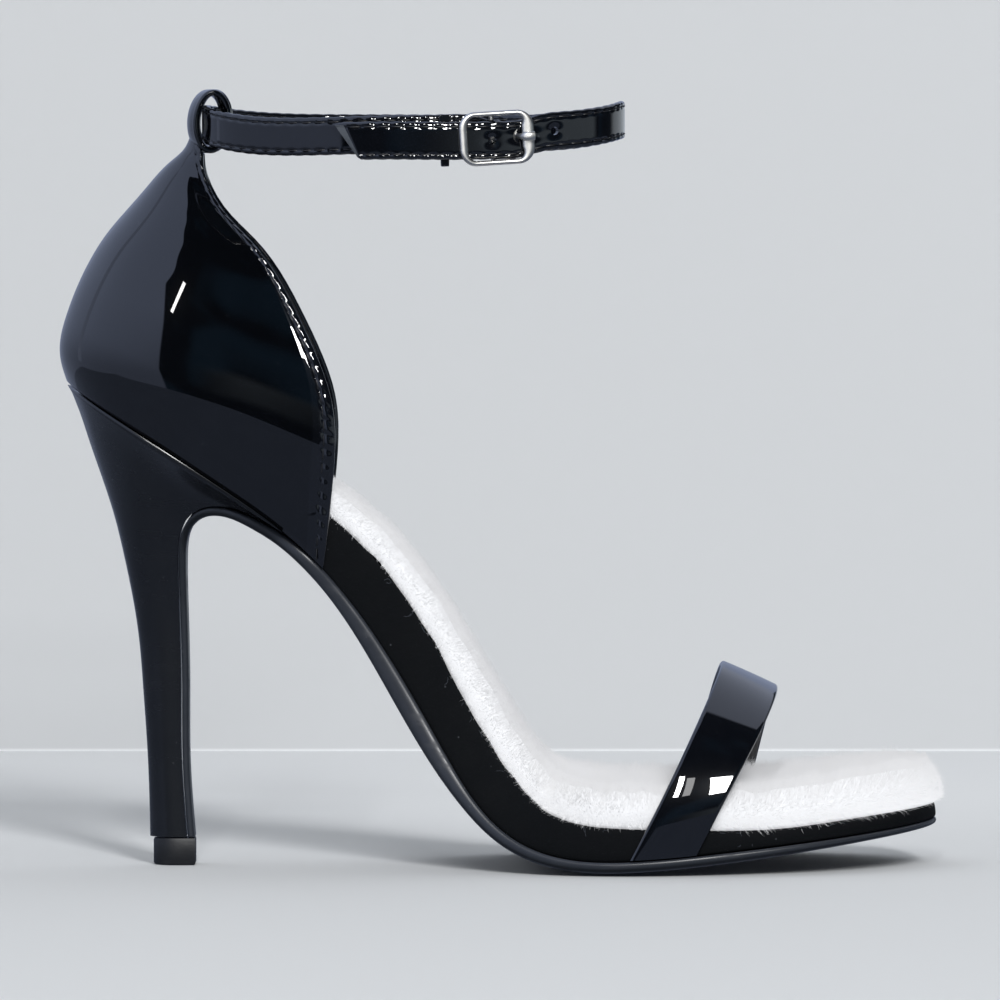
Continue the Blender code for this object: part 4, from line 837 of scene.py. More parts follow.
def make_finishes():
    """All finishes of the shoe, by short names; the two tones of each are low and high."""
    return {
        # Black leather under a thick clear lacquer, with a few specks of dust
        "patent": finish("black_patent", (0.002, 0.0024, 0.004), 0.3, grain(1500.0, 240.0),
                         ((0.0012, 0.0016, 0.003), (0.003, 0.0034, 0.005)), (0.25, 0.06),
                         Marks(0.5, 0.25, dust=(0.05, 0.055, 0.06), roughness=(0.25, 0.42)),
                         Coat_Weight=1.0, Coat_Roughness=0.018, Coat_IOR=1.76, Specular_IOR_Level=0.02),
        # Bonded black thread
        "thread": finish("black_thread", (0.006, 0.006, 0.007), 0.42, nap(5200.0),
                         ((0.003, 0.003, 0.0035), (0.012, 0.012, 0.014)), (0.5, 0.05)),
        # Raw cut edge of the strap, a rough blue grey
        "raw": finish("raw_edge", (0.1, 0.115, 0.14), 0.85, nap(2200.0),
                      ((0.025, 0.03, 0.038), (0.13, 0.145, 0.17)), (0.8, 0.2), Specular_IOR_Level=0.2),
        # Matt black cloth round the insole
        "wrap": finish("matt_wrap", (0.009, 0.010, 0.0115), 0.75, nap(2600.0),
                       ((0.0012, 0.0016, 0.0022), (0.0036, 0.0046, 0.0058)), (0.6, 0.12),
                       Marks(0.6, 0.5, dust=(0.07, 0.075, 0.085)), (0.66, 0.9), Specular_IOR_Level=0.12),
        # Thin black lining leather
        "lining": finish("black_lining", (0.011, 0.011, 0.012), 0.55, grain(1900.0, 300.0),
                         ((0.007, 0.007, 0.008), (0.016, 0.016, 0.017)), (0.5, 0.12),
                         Specular_IOR_Level=0.3),
        # Satin black covering of the heel
        "covering": finish("heel_satin", (0.0065, 0.0075, 0.0095), 0.3, grain(2400.0, 170.0),
                           ((0.003, 0.0036, 0.005), (0.0055, 0.0064, 0.0082)), (0.25, 0.06),
                           Marks(0.35, 0.5, dust=(0.05, 0.052, 0.058), roughness=(0.27, 0.4)),
                           Coat_Weight=0.35, Coat_Roughness=0.2),
        # Smooth satin black edge and tread, a little dusty, with painted shade underneath and a painted
        # sheen along the arch
        "sole": finish("sole_black", (0.012, 0.013, 0.015), 0.4, grain(2000.0, 210.0),
                       ((0.017, 0.02, 0.026), (0.026, 0.03, 0.038)), (0.3, 0.08),
                       Marks(0.5, 1.0, dust=(0.09, 0.09, 0.095), roughness=(0.33, 0.55)),
                       recolour=sole_painted_light),
        # Hard black rubber, rubbed grey in streaks
        "rubber": finish("hard_rubber", (0.01, 0.01, 0.011), 0.5, grain(2600.0, 400.0),
                         ((0.005, 0.0055, 0.006), (0.013, 0.0135, 0.015)), (0.5, 0.12),
                         Marks(0.6, 0.9, rubbed=(0.026, 0.027, 0.029))),
        # Dense white pile, cooler in random patches and, as painted shade, in the hollows of its nap
        "pile": finish("white_pile", (0.93, 0.935, 0.95), 0.9, nap(1500.0),
                       ((0.815, 0.82, 0.845), (0.885, 0.885, 0.895)), (0.15, 0.15), Specular_IOR_Level=0.1),
        # Single white hairs, in slightly warmer and cooler locks
        "hair": finish("white_hair", (0.95, 0.955, 0.965), 0.8, nap(420.0),
                       ((0.825, 0.83, 0.855), (0.895, 0.89, 0.895)), Specular_IOR_Level=0.1),
        # Shed hairs, greyer for being thin
        "shed": finish("shed_hair", (0.3, 0.32, 0.36), 0.7, nap(420.0),
                       ((0.02, 0.023, 0.03), (0.16, 0.18, 0.22))),
        # Satin nickel with fine brushing and a faint tarnish
        "nickel": finish("satin_nickel", (0.78, 0.77, 0.74), 0.3, grain(5200.0, 380.0),
                         ((0.5, 0.49, 0.462), (0.66, 0.65, 0.625)), (0.3, 0.03),
                         Marks(0.3, 1.0, roughness=(0.34, 0.46)), Metallic=1.0),
    }


def card_material(name, low, high):
    """A tone for the lacquer to mirror, a little uneven."""
    material, tree, shader = new_material(name, (0.0, 0.0, 0.0), 1.0, Specular_IOR_Level=0.0,
                                          Emission_Strength=1.0)
    tone = use_group(tree, *grain(60.0, 9.0))["Tone"]
    feed(tree, shader.inputs["Emission Color"], vary(tree, tone, low, high))
    return material


def stage_material():
    """Pale floor and wall; the floor is painted lighter towards the wall, as painted light against the shade
    there; the wall is clear from its back, for views from there.
    """
    material, tree, shader = new_material("pale_stage", FLOOR_COLOUR, 0.9, Specular_IOR_Level=0.1)
    shape = tree.nodes.new("ShaderNodeNewGeometry").outputs
    place = tree.nodes.new("ShaderNodeSeparateXYZ")
    feed(tree, place.inputs[0], shape["Position"])
    # Painted light: the floor lightens from its front towards the wall
    floor = vary(tree, smooth(tree, place.outputs[1], *PAINTED_LIGHT_FADE), FLOOR_COLOUR, PAINTED_LIGHT_FLOOR_COLOUR)
    wall = smooth(tree, place.outputs[2], 0.0, WALL_FOOT)
    feed(tree, shader.inputs["Base Color"], mix_colours(tree, wall, floor, (*WALL_COLOUR, 1.0)))
    clear = tree.nodes.new("ShaderNodeBsdfTransparent")
    choice = tree.nodes.new("ShaderNodeMixShader")
    tree.links.new(shape["Backfacing"], choice.inputs[0])
    tree.links.new(shader.outputs["BSDF"], choice.inputs[1])
    tree.links.new(clear.outputs["BSDF"], choice.inputs[2])
    tree.links.new(choice.outputs["Shader"], tree.nodes["Material Output"].inputs["Surface"])
    return material


# Pieces
def add_outsole(material):
    def depth(part):
        return lambda arcs: -part * sole_value(arcs, "thickness")

    vertices, faces = plate(lay_on_sole, sole_outline, edge_profile(SOLE_EDGE, depth), PLATE_COLUMNS)
    vertices[:, 2] = np.maximum(vertices[:, 2], 0.0)
    make_solid("outsole_edge_and_tread", vertices, faces, material, "sole", "outsole")


def add_wrapped_insole(material):
    def level(part):
        return lambda arcs: part * last_value(arcs, "insole")

    vertices, faces = plate(lay_on_last, last_outline, edge_profile(INSOLE_EDGE, level), PLATE_COLUMNS)
    make_solid("insole_wrap", vertices, faces, material, "wrap", "wrapped_insole")


def fur_level(part):
    return lambda arcs: last_value(arcs, "insole") + GAP + part * last_value(arcs, "fur")


def fur_swell(places):
    """Soft hills and hollows of the pile."""
    x, y = places[:, 0], places[:, 1]
    hills = np.sin(0.52 * x + 1.1 * np.sin(0.21 * y)) * np.cos(0.33 * y + 0.8)
    hills += 0.6 * np.sin(0.94 * x - 0.41 * y)
    return FUR_SWELL * hills * ease((x - FUR_SWELL_START) / FUR_SWELL_LENGTH)


def add_fur_pile(material):
    vertices, faces = plate(lay_on_last, fur_outline, edge_profile(FUR_EDGE, fur_level), PLATE_COLUMNS)
    above = vertices[:, 2] - np.interp(vertices[:, 0], LAST_X, last_value(LAST_ARCS, "z"))
    vertices[:, 2] += fur_swell(vertices) * ease((above - FUR_TOP_START) / FUR_TOP_LENGTH)
    make_solid("fur_pile", vertices, faces, material, "fur", "fur_sock")


def fur_edge(climb):
    """How far out the pile is at a place up its edge, and its height as a part of the fur's."""
    return spline(np.arange(len(FUR_EDGE)), FUR_EDGE)(climb).T


def fur_root(arcs, side, climb):
    """Points on the pile: along it, the part across it, and how far up its edge."""
    outset, part = fur_edge(climb)
    toe = ease((arcs - LAST_LENGTH + TOE_FLUFF_LENGTH) / TOE_FLUFF_LENGTH)
    y = last_value(arcs, "shift") + side * last_half_width(arcs, outset + TOE_FLUFF * toe)
    return lay_on_last(arcs, y, last_value(arcs, "insole") + GAP + part * last_value(arcs, "fur"))


def fur_ways(arcs, side, climb):
    """Directions on the pile: along its outline, out from it, and up from the sole."""
    ahead = unit(fur_root(arcs + SLOPE_STEP, side, climb) - fur_root(arcs - SLOPE_STEP, side, climb))
    line = last_line(arcs + SLOPE_STEP) - last_line(arcs - SLOPE_STEP)
    up = unit(np.stack([-line[:, 1], 0 * arcs, line[:, 0]], axis=1))
    out = unit(np.cross(ahead, up)) * -np.sign(side)[:, None]
    return ahead, out, up


def keep_inside(points):
    """Hairs stay inside the counter and the toe band."""
    x = points[:, 0]
    arcs = np.interp(x, LAST_X, LAST_ARCS)
    room = last_half_width(np.maximum(arcs, HELD_START), 0.0) - HELD_GAP
    side = np.sign(points[:, 1])
    foot = np.where(side < 0, BAND_BASE_X[-1], BAND_BASE_X[1])
    under_band = np.abs(x - foot - HELD_BAND_SHIFT) < 0.5 * BAND_WIDTH + HELD_BAND_REACH
    held = (x < COUNTER_FRONT_X + HELD_AHEAD) | under_band
    shift = last_value(arcs, "shift")
    points[:, 1] = np.where(held, shift + np.clip(points[:, 1] - shift, -room, room), points[:, 1])
    return points


def add_fur_hairs(material):
    """Short soft hairs in loose locks, as three-sided cones that stand out from the pile."""
    draw = np.random.default_rng(FUR_SEED)
    top = len(FUR_EDGE) - 1
    ring, outer, _ = fur_outline(FUR_EDGE[1].outset)
    run = running_length(np.stack([ring, outer], axis=1))
    ring = (ring - ring[0]) / (ring[-1] - ring[0])
    angles = np.array([0.0, 2.0, 4.0])[:, None, None] * math.pi / 3
    count = HAIRS_EACH
    for number in range(HAIR_PIECES):
        along = np.interp(draw.uniform(0.0, run[-1], count), run, ring)
        across = draw.uniform(-1.0, 1.0, count)
        on_edge = draw.uniform(0.0, 1.0, count) < EDGE_HAIRS
        height = draw.uniform(HAIR_LOWEST, top + FEATHER, count)
        climb = np.where(on_edge, np.minimum(height, top), top)
        inwards = FEATHER_WIDTH * (np.maximum(height - top, 0.0) / FEATHER) ** 2
        side = np.where(on_edge, np.sign(across) * (1 - inwards), across)
        outset = fur_edge(climb)[0]
        arcs = HAIR_ROOT - outset + (LAST_LENGTH + TOE_FLUFF + 2 * (outset - HAIR_ROOT)) * along
        at_tip = arcs > LAST_LENGTH + TOE_FLUFF + outset - TIP_LENGTH
        side = np.where(at_tip, across, side)
        root = fur_root(arcs, side, climb)
        ahead, out, up = fur_ways(arcs, side, climb)
        forward = up[:, ::-1] * (1, 0, -1)
        out = np.where(at_tip[:, None], unit(out * np.abs(side)[:, None] + forward), out)
        edge_rise = EDGE_RISE * ease((climb - EDGE_RISE_START) / EDGE_RISE_LENGTH)
        top_rise = math.pi / 2 - RIM_LEAN * ease((np.abs(side) - RIM_LEAN_START) / RIM_LEAN_LENGTH)
        rise = np.where(on_edge & (height < top), edge_rise, top_rise)
        normal = out * np.cos(rise)[:, None] + up * np.sin(rise)[:, None]
        lock = np.floor(np.stack([arcs, across * LOCK_ACROSS + climb * LOCK_CLIMB], axis=1) / LOCK_SPACING)
        turn = np.sin(lock @ LOCK_MIX)[:, None] * LOCK_SPREAD
        turn -= np.floor(turn)
        lean = ahead * (LEAN_AHEAD + SWAY_AHEAD * (turn[:, :1] - 0.5))
        lean += np.cross(normal, ahead) * (turn[:, 1:2] - 0.5) * SWAY_ACROSS
        low = ease((HAIR_DROOP_TOP - climb) / HAIR_DROOP_LENGTH)[:, None]
        way = unit(normal + lean - HAIR_DROOP * low * up + draw.normal(0.0, HAIR_SPREAD, (count, 3)))
        shorter = 1 - TOE_SHORTER * ease((along - TOE_SHORTER_START) / (1 - TOE_SHORTER_START))
        length = HAIR_LENGTH * last_value(arcs, "fur") * (LOCK_SHORTEST + LOCK_VARIES * turn[:, 2])
        length *= draw.uniform(*HAIR_LENGTHS, count)
        root[:, 2] += fur_swell(root) * np.sin(rise)
        tip = keep_inside(root + way * (length * shorter)[:, None])
        root = root - way * HAIR_ROOT
        first = unit(np.cross(way, draw.normal(0.0, 1.0, (count, 3))))
        radial = np.cos(angles) * first + np.sin(angles) * np.cross(way, first)
        vertices = np.concatenate([root + HAIR_RADIUS * radial, tip[None]]).transpose(1, 0, 2)
        flat = SOFT_OUT * normal + SOFT_UP * up - SOFT_NEAR * np.array([0.0, 1.0, 0.0])
        soft = np.concatenate([flat + SOFT_ROUND * radial, flat[None]]).transpose(1, 0, 2)
        start = 4 * np.arange(count)[:, None, None]
        faces = (start + np.array([[0, 1, 3], [1, 2, 3], [2, 0, 3]])).reshape(-1, 3).tolist()
        piece = make_piece(f"fur_hairs_{number + 1}", vertices.reshape(-1, 3), faces, material, "fur",
                           ["fur_sock"], unit(soft).reshape(-1, 3))
        piece.visible_shadow = False
        piece.visible_diffuse = False


def add_stray_hairs(material):
    """Shed hairs that cling to the wrap's sides."""
    draw = np.random.default_rng(FUR_SEED + 1)
    meshes = []
    for _ in range(STRAY_HAIRS):
        arc = draw.uniform(last_arc(STRAY_START_X), LAST_LENGTH - STRAY_END)
        side = draw.choice((-1.0, 1.0))
        part = 1 - STRAY_DEPTH * draw.uniform(0.0, 1.0) ** 2
        turn = draw.normal(*STRAY_TURN)
        length = draw.uniform(*STRAY_LENGTH)
        curl = draw.normal(*STRAY_CURL)
        along = np.linspace(-0.5, 0.5, STRAY_POINTS)
        arcs = arc + length * (along * math.cos(turn) - curl * along ** 2 * math.sin(turn))
        rise = length * (along * math.sin(turn) + curl * along ** 2 * math.cos(turn))
        insole = last_value(arcs, "insole")
        level = np.clip(part * insole + rise, STRAY_LOW, insole - STRAY_HIGH)
        y = last_value(arcs, "shift") + side * (last_half_width(arcs, 0.0) + STRAY_LIFT)
        meshes.append(tube(lay_on_last(arcs, y, level), STRAY_RADIUS, STRAY_SIDES))
    make_piece("stray_hairs", *join_meshes(meshes), material, "fur", ["fur_sock"])


def heel_slice(row):
    """Points of one slice of the heel, from the middle of its back round to both breast edges."""
    back_x, back_z, breast_x, breast_z, half_width, breast_half_width = row
    length = math.hypot(breast_x - back_x, breast_z - back_z)
    part = np.linspace(0.0, 1.0, HEEL_SIDES + 1)[1:] ** 2
    taper = ease((part - HEEL_TAPER_START) / (1 - HEEL_TAPER_START))
    width = half_width + (breast_half_width - half_width) * taper
    width = width * rounded(part * length, HEEL_BACK_REACH * half_width)
    x = back_x + (breast_x - back_x) * part
    z = back_z + (breast_z - back_z) * part
    side = np.stack([x, width, z], axis=1)
    return np.concatenate([[(back_x, 0.0, back_z)], side, (side * (1, -1, 1))[::-1]])


def add_heel(material):
    rows = [(row.back_x, row.back_z, row.half_width, row.breast_half_width) for row in HEEL]
    heel_line = spline(HEEL_KNOTS, rows)
    breast = lay_on_sole(HEEL_PLACES, 0.0, GAP)
    breast[0, 2] = HEEL[0].back_z
    loops = []
    for (back_x, back_z, half_width, breast_half_width), front in zip(heel_line(HEEL_PLACES), breast):
        loops.append(heel_slice((back_x, back_z, front[0], front[2], half_width, breast_half_width)))
    seat_length = last_arc(HEEL[-1].breast_x) + COUNTER_OUTSET
    arcs = -COUNTER_OUTSET + seat_length * np.linspace(0.0, 1.0, HEEL_SIDES + 1) ** 2
    width = last_half_width(arcs, COUNTER_OUTSET)
    middle = last_value(arcs, "shift")
    inner = lay_on_last(arcs, middle + width, -GAP)
    outer = lay_on_last(arcs, middle - width, -GAP)
    loops.append(np.concatenate([inner, outer[1:][::-1]]))
    size = len(loops[0])
    vertices = np.concatenate(loops)
    faces = grid_faces(len(loops), size, round_columns=True)
    faces.append(list(range(size)))
    seat = size * (len(loops) - 1)
    for i in range(1, HEEL_SIDES):
        faces.append((seat + i, seat + i + 1, seat + size - 1 - i, seat + size - i))
    faces.append((seat, seat + 1, seat + size - 1))
    make_solid("heel_covering", vertices, faces, material, "heel_cover", "heel")


def add_top_piece(material):
    tip = HEEL[0]
    loops = []
    for inset, z in TIP_EDGE:
        widths = tip.half_width - inset, tip.breast_half_width - inset
        loops.append(heel_slice((TIP_BACK_X + inset, z, TIP_FRONT_X - inset, z, *widths)))
    size = len(loops[0])
    faces = grid_faces(len(loops), size, round_columns=True)
    faces.append(list(range(size)))
    faces.append(list(range(size * (len(loops) - 1), size * len(loops))))
    make_solid("heel_tip", np.concatenate(loops), faces, material, "top_piece", "top_piece")


def counter_points(levels, sides):
    """Grid of points on the counter's outside: a row for each level, from front edge to front edge."""
    middles = [((row.back_x + row.front_x) / 2, (row.back_z + row.front_z) / 2) for row in COUNTER]
    knots = running_length(middles)
    counter_line = spline(knots, [row[1:] for row in COUNTER])
    part = sides ** 2
    side = np.sign(sides)
    arcs = -COUNTER_OUTSET + (last_arc(COUNTER_FRONT_X) + COUNTER_OUTSET) * part
    seam_y = last_value(arcs, "shift") + side * last_half_width(arcs, COUNTER_OUTSET)
    seam = lay_on_last(arcs, seam_y, 0.0)
    first = COUNTER[0]
    start_x = first.back_x + (first.front_x - first.back_x) * part
    start_z = first.back_z + (first.front_z - first.back_z) * part
    taper = ease((part - CUP_TAPER_START) / (1 - CUP_TAPER_START))
    rows = []
    for place in levels * knots[-1]:
        level = CounterRow("", *counter_line(place)[0])
        length = math.hypot(level.front_x - level.back_x, level.front_z - level.back_z)
        width = level.half_width + (level.front_half_width - level.half_width) * taper
        y = side * width * rounded(part * length, CUP_REACH * level.half_width)
        hold = 1 - ease(place / knots[LEVELS_ON_LAST])
        x = level.back_x + (level.front_x - level.back_x) * part + (seam[:, 0] - start_x) * hold
        z = level.back_z + (level.front_z - level.back_z) * part + (seam[:, 2] - start_z) * hold
        rows.append(np.stack([x, y + (seam[:, 1] - y) * hold, z], axis=1))
    return np.array(rows)


def counter_relief(outer, from_seam, inset):
    """Waves of the lacquer, a swell and a tuck at the seam, a crease at the front, and the flared tab."""
    x, y, z = np.moveaxis(outer, -1, 0)
    first, second, fine = (np.sin(ahead * x + up * z + start) for ahead, up, start in COUNTER_WAVES)
    waves = first * second + COUNTER_FINE_WAVE * fine
    along = np.clip(((x - CREASE_START[0]) * CREASE_WAY[0] + (z - CREASE_START[1]) * CREASE_WAY[1])
                    / (CREASE_WAY[0] ** 2 + CREASE_WAY[1] ** 2), 0.0, 1.0)
    away = np.hypot(x - CREASE_START[0] - along * CREASE_WAY[0], z - CREASE_START[1] - along * CREASE_WAY[1])
    crease = CREASE_HEIGHT * np.exp(-(away / CREASE_WIDTH) ** 2) * (y < 0)
    flare = FLARE * np.maximum(1 - inset / FLARE_WIDTH, 0.0) ** 2 * ease((z - FLARE_START_Z) / FLARE_LENGTH)
    tuck = COUNTER_TUCK * (1 - ease(from_seam / COUNTER_TUCK_LENGTH))
    front = ease((x - FOOT_TUCK_START) / FOOT_TUCK_REACH)
    tuck = tuck + FOOT_TUCK * np.maximum(1 - from_seam / FOOT_TUCK_LENGTH, 0.0) ** 2 * front
    swell = COUNTER_SWELL * np.exp(-((from_seam - COUNTER_SWELL_AT) / COUNTER_SWELL_WIDTH) ** 2)
    return COUNTER_WAVE * waves + swell + crease + flare - tuck


def add_heel_counter(material, thread, lining):
    field = np.linspace(0.0, COUNTER_RIM, COUNTER_FIELD, endpoint=False)
    half = np.concatenate([field, np.linspace(COUNTER_RIM, 1.0, COUNTER_RIM_COUNT)])
    sides = np.concatenate([-half[:0:-1], half])
    middle = len(half) - 1
    outer = counter_points(np.linspace(0.0, 1.0, COUNTER_LEVELS), sides)
    normal = grid_normals(outer)
    if normal[COUNTER_LEVELS // 2, middle, 0] > 0:
        normal = -normal
    across = np.array([running_length(row) for row in outer])
    inset = np.minimum(across, across[:, -1:] - across)
    from_seam = np.stack([running_length(outer[:, j]) for j in range(len(sides))], axis=1)
    relief = counter_relief(outer, from_seam, inset)
    stitches = []
    for columns in (slice(middle, None), slice(middle, None, -1)):
        line = line_across(outer[:, columns], inset[:, columns], COUNTER_STITCH_IN)
        over = unit(line_across(normal[:, columns], inset[:, columns], COUNTER_STITCH_IN))
        run = running_length(line)[:, None]
        relief[:, columns] += seam_relief(inset[:, columns], run, COUNTER_STITCH_IN, COUNTER_BEAD)
        stitches += stitch_row(line, over)
    inner = outer - COUNTER_WALL * normal
    face = outer + normal * relief[..., None]
    panel = slice(RIM_COLUMNS, -RIM_COLUMNS)
    vertices, faces = wall_mesh(face[:, panel], inner[:, panel], 0, 0)
    make_solid("counter_patent", vertices, faces, material, "patent", "heel_counter")
    rims = []
    near, far = slice(RIM_COLUMNS + 1), slice(-RIM_COLUMNS - 1, None)
    for columns, steps in ((near, (EDGE_STEPS, 0)), (far, (0, EDGE_STEPS))):
        rims.append(wall_mesh(face[:, columns], inner[:, columns], *steps))
    make_solid("counter_rim", *join_meshes(rims), material, "patent", "heel_counter")
    make_piece("counter_stitches", *join_meshes(stitches), thread, "patent", ["heel_counter"])
    rows = slice(2, -LINING_STEP, LINING_STEP)
    columns = slice(LINING_RIM, -LINING_RIM, LINING_STEP)
    back = inner[rows, columns] - LINING_GAP * normal[rows, columns]
    vertices, faces = wall_mesh(back, back - LINING_THICKNESS * normal[rows, columns])
    make_solid("counter_lining", vertices, faces, lining, "wrap", "heel_counter")


def loop_points(wall):
    """Grid of points round the strap loop, wall in from its outside; it bends with the strap."""
    bend = ANKLE_LENGTH / (2 * ANKLE_WIDTH ** 2)
    across = np.linspace(-LOOP_HALF_WIDTH, LOOP_HALF_WIDTH, LOOP_COLUMNS)
    rows = []
    for angle in np.linspace(0.0, 2 * math.pi, LOOP_SIDES, endpoint=False):
        x = (LOOP_RADIUS_X - wall) * math.cos(angle)
        z = (LOOP_RADIUS_Z - wall) * math.sin(angle)
        leaned_x = x * math.cos(LOOP_TILT) - z * math.sin(LOOP_TILT)
        leaned_z = x * math.sin(LOOP_TILT) + z * math.cos(LOOP_TILT)
        back = LOOP_X + leaned_x + bend * across ** 2
        rows.append(np.stack([back, across, np.full(LOOP_COLUMNS, LOOP_Z + leaned_z)], axis=1))
    return np.array(rows)


def add_strap_loop(material):
    rings = rounded_wall(loop_points(0.0), loop_points(LOOP_WALL), EDGE_STEPS, EDGE_STEPS)
    faces = grid_faces(*rings.shape[:2], round_rows=True, round_columns=True)
    make_solid("strap_loop", rings.reshape(-1, 3), faces, material, "patent", "heel_counter")


def band_point(side, climb, part):
    """Point on the toe band's middle: its side, how far up it, and the part across its width."""
    arc = last_arc(BAND_BASE_X[side] + part * BAND_WIDTH)
    here = LastRow("", *last_line(arc)[0])
    foot_y = here.shift + side * (float(last_half_width(arc, 0.0)[0]) + GAP + BAND_THICKNESS / 2)
    foot_z = float(lay_on_last(arc, foot_y, 0.0)[0, 2])
    wall_z = foot_z + BAND_RISE
    angle = math.pi / 2 * max(0.0, climb - BAND_STRAIGHT) / (1 - BAND_STRAIGHT)
    if climb < BAND_STRAIGHT:
        y, z = foot_y, foot_z + BAND_RISE * climb / BAND_STRAIGHT
    else:
        y = here.shift + (foot_y - here.shift) * math.cos(angle)
        z = wall_z + (BAND_TOP_Z - wall_z) * math.sin(angle)
    risen = (z - foot_z) / (BAND_TOP_Z - foot_z)
    middle = BAND_BASE_X[side] + (BAND_TOP_X - BAND_BASE_X[side]) * risen
    width = BAND_WIDTH + (BAND_TOP_WIDTH - BAND_WIDTH) * risen
    tilt = BAND_TOP_TILT * math.sin(angle) ** 2
    return middle + part * width * math.cos(tilt), y, z - part * width * math.sin(tilt)


def band_points(climbs, across):
    """Points on the toe band's middle, from its outer foot over the top to its inner one, and normals."""
    rows = [[band_point(-1, climb, part) for part in across] for climb in climbs]
    rows += [[band_point(1, climb, part) for part in across] for climb in climbs[-2::-1]]
    rows = np.array(rows)
    normal = grid_normals(rows)
    if normal[len(rows) // 2, len(across) // 2, 2] < 0:
        normal = -normal
    swell = BAND_SWELL * (1 - (2 * across) ** 2)
    return rows + normal * swell[None, :, None], normal


def add_toe_strap(material):
    rim = BAND_THICKNESS / 2 / BAND_WIDTH
    across = np.linspace(rim - 0.5, 0.5 - rim, BAND_COLUMNS)
    middle, normal = band_points(np.linspace(0.0, 1.0, BAND_ROWS), across)
    half = normal * BAND_THICKNESS / 2
    vertices, faces = wall_mesh(middle + half, middle - half)
    make_solid("toe_strap_patent", vertices, faces, material, "patent", "toe_strap")


def oval(angle):
    """Point of the ankle strap's middle line in plan, its direction out, and its height."""
    power = 2 / ANKLE_SQUARENESS

    def place(turn):
        c, s = math.cos(turn), math.sin(turn)
        return np.array([ANKLE_X + ANKLE_LENGTH * math.copysign(abs(c) ** power, c),
                         ANKLE_WIDTH * math.copysign(abs(s) ** power, s)])

    ahead = place(angle + OVAL_STEP) - place(angle - OVAL_STEP)
    ahead /= np.linalg.norm(ahead)
    height = ANKLE_Z + ANKLE_RISE_FRONT * math.cos(angle)
    height += ANKLE_SAG * math.cos(2 * angle) + ANKLE_HANG * math.cos(4 * angle)
    height -= ANKLE_TWIST * math.sin(2 * angle)
    return place(angle), np.array([ahead[1], -ahead[0]]), height


def oval_table():
    """Angles round the oval, backwards from the buckle's bar, with the length along it."""
    turns = np.linspace(-OVAL_BEFORE, 2 * math.pi + OVAL_AFTER, OVAL_SAMPLES)
    angles = BAR_ON_OVAL - turns
    lengths = running_length([oval(angle)[0] for angle in angles])
    lengths -= np.interp(0.0, turns, lengths)
    return angles, lengths, float(np.interp(2 * math.pi, turns, lengths))


OVAL_ANGLES, OVAL_LENGTHS, OVAL_ROUND = oval_table()


def strap_point(length, out, up):
    """A point by its length along the strap from the buckle's bar, out from it, and up from its middle."""
    place, outward, height = oval(float(np.interp(length, OVAL_LENGTHS, OVAL_ANGLES)))
    return np.array([*(place + outward * out), height + up])


StrapRow = namedtuple("StrapRow", "length out rise thickness")


def strap_rise(length):
    """How far the strap lies over its usual height: low at the buckle and in its tail, high behind it."""
    behind = ease(length / UNDER_RISE)
    lift = UNDER_LIFT * behind * (1 - ease((length - UNDER_LENGTH) / UNDER_LENGTH))
    lift -= BUCKLE_DROP * (1 - behind)
    past = length - OVAL_ROUND
    drop = TAIL_DROP * ease((past + TAIL_DROP_START) / TAIL_DROP_LENGTH)
    drop -= TAIL_BACK_RISE * ease(past / TAIL_LENGTH)
    return float(lift - drop)


def strap_holes():
    """The holes in the tail: how far in front of the bar, how long, and how high."""
    front, back = PRONG_HOLE + HOLE_STEP, PRONG_HOLE - HOLE_STEP
    plain = [(along, 1.0, strap_rise(OVAL_ROUND - along)) for along in (front, back)]
    return [(PRONG_HOLE, PRONG_HOLE_LONGER, PRONG_HOLE_RISE)] + plain


def strap_route():
    """Rows of the strap from its folded end, back round the bar, round the ankle and on to its tail."""
    fold = BAR_RADIUS + GAP + SKIVED / 2
    under = -STRAP_THICKNESS / 2 - GAP - SKIVED / 2
    rows = []
    folded = [(FOLD_LENGTH, under), (FOLD_FLAT, under), (FOLD_BEND, under - FOLD_BEND_IN)]
    folded.append((FOLD_CLOSE, BAR_OUT - fold + FOLD_CLOSE_OUT))
    for length, out in folded:
        rows.append(StrapRow(length, out, strap_rise(length), SKIVED))
    for turn in np.linspace(0.0, math.pi, FOLD_TURNS + 1):
        rows.append(StrapRow(-fold * math.sin(turn), BAR_OUT - fold * math.cos(turn), -BUCKLE_DROP, SKIVED))
    rows.append(StrapRow(STRAP_LEAVES, BAR_OUT + fold + STRAP_LEAVES_OUT, strap_rise(STRAP_LEAVES), SKIVED))
    ending = OVAL_ROUND + TAIL_LENGTH
    count = round((ending - STRAP_STEP) / STRAP_STEP)
    for length in np.linspace(STRAP_STEP, ending, count + 1):
        start = float(ease((length - STRAP_LEAVES) / UNDER_RISE))
        over = float(ease((length - OVAL_ROUND + TAIL_RISE_START) / TAIL_RISE_LENGTH))
        thickness = SKIVED + (STRAP_THICKNESS - SKIVED) * start
        middle = (BAR_OUT + fold) * (1 - start) + TAIL_LAYER * over
        rows.append(StrapRow(length, middle, strap_rise(length), thickness))
    return rows


def cut_away(piece, forms):
    """Cuts closed forms out of a piece, and removes them."""
    for form in forms:
        cut = piece.modifiers.new("cut", "BOOLEAN")
        cut.operation = "DIFFERENCE"
        cut.object = form
    graph = bpy.context.evaluated_depsgraph_get()
    shape = bpy.data.meshes.new_from_object(piece.evaluated_get(graph))
    piece.modifiers.clear()
    piece.data = shape
    shape.set_sharp_from_angle(angle=SHARP_ANGLE)
    for form in forms:
        bpy.data.objects.remove(form)


def cutter(first, second):
    """A closed form between two loops of points."""
    count = len(first)
    faces = grid_faces(2, count, round_columns=True)
    faces += [list(range(count)), list(range(count, 2 * count))]
    mesh = bpy.data.meshes.new("form")
    places = (np.concatenate([first, second]) - (ORIGIN_X, ORIGIN_Y, 0.0)) * MM
    mesh.from_pydata(places.tolist(), [], faces)
    form = bpy.data.objects.new("form", mesh)
    show(form)
    return face_out(form)


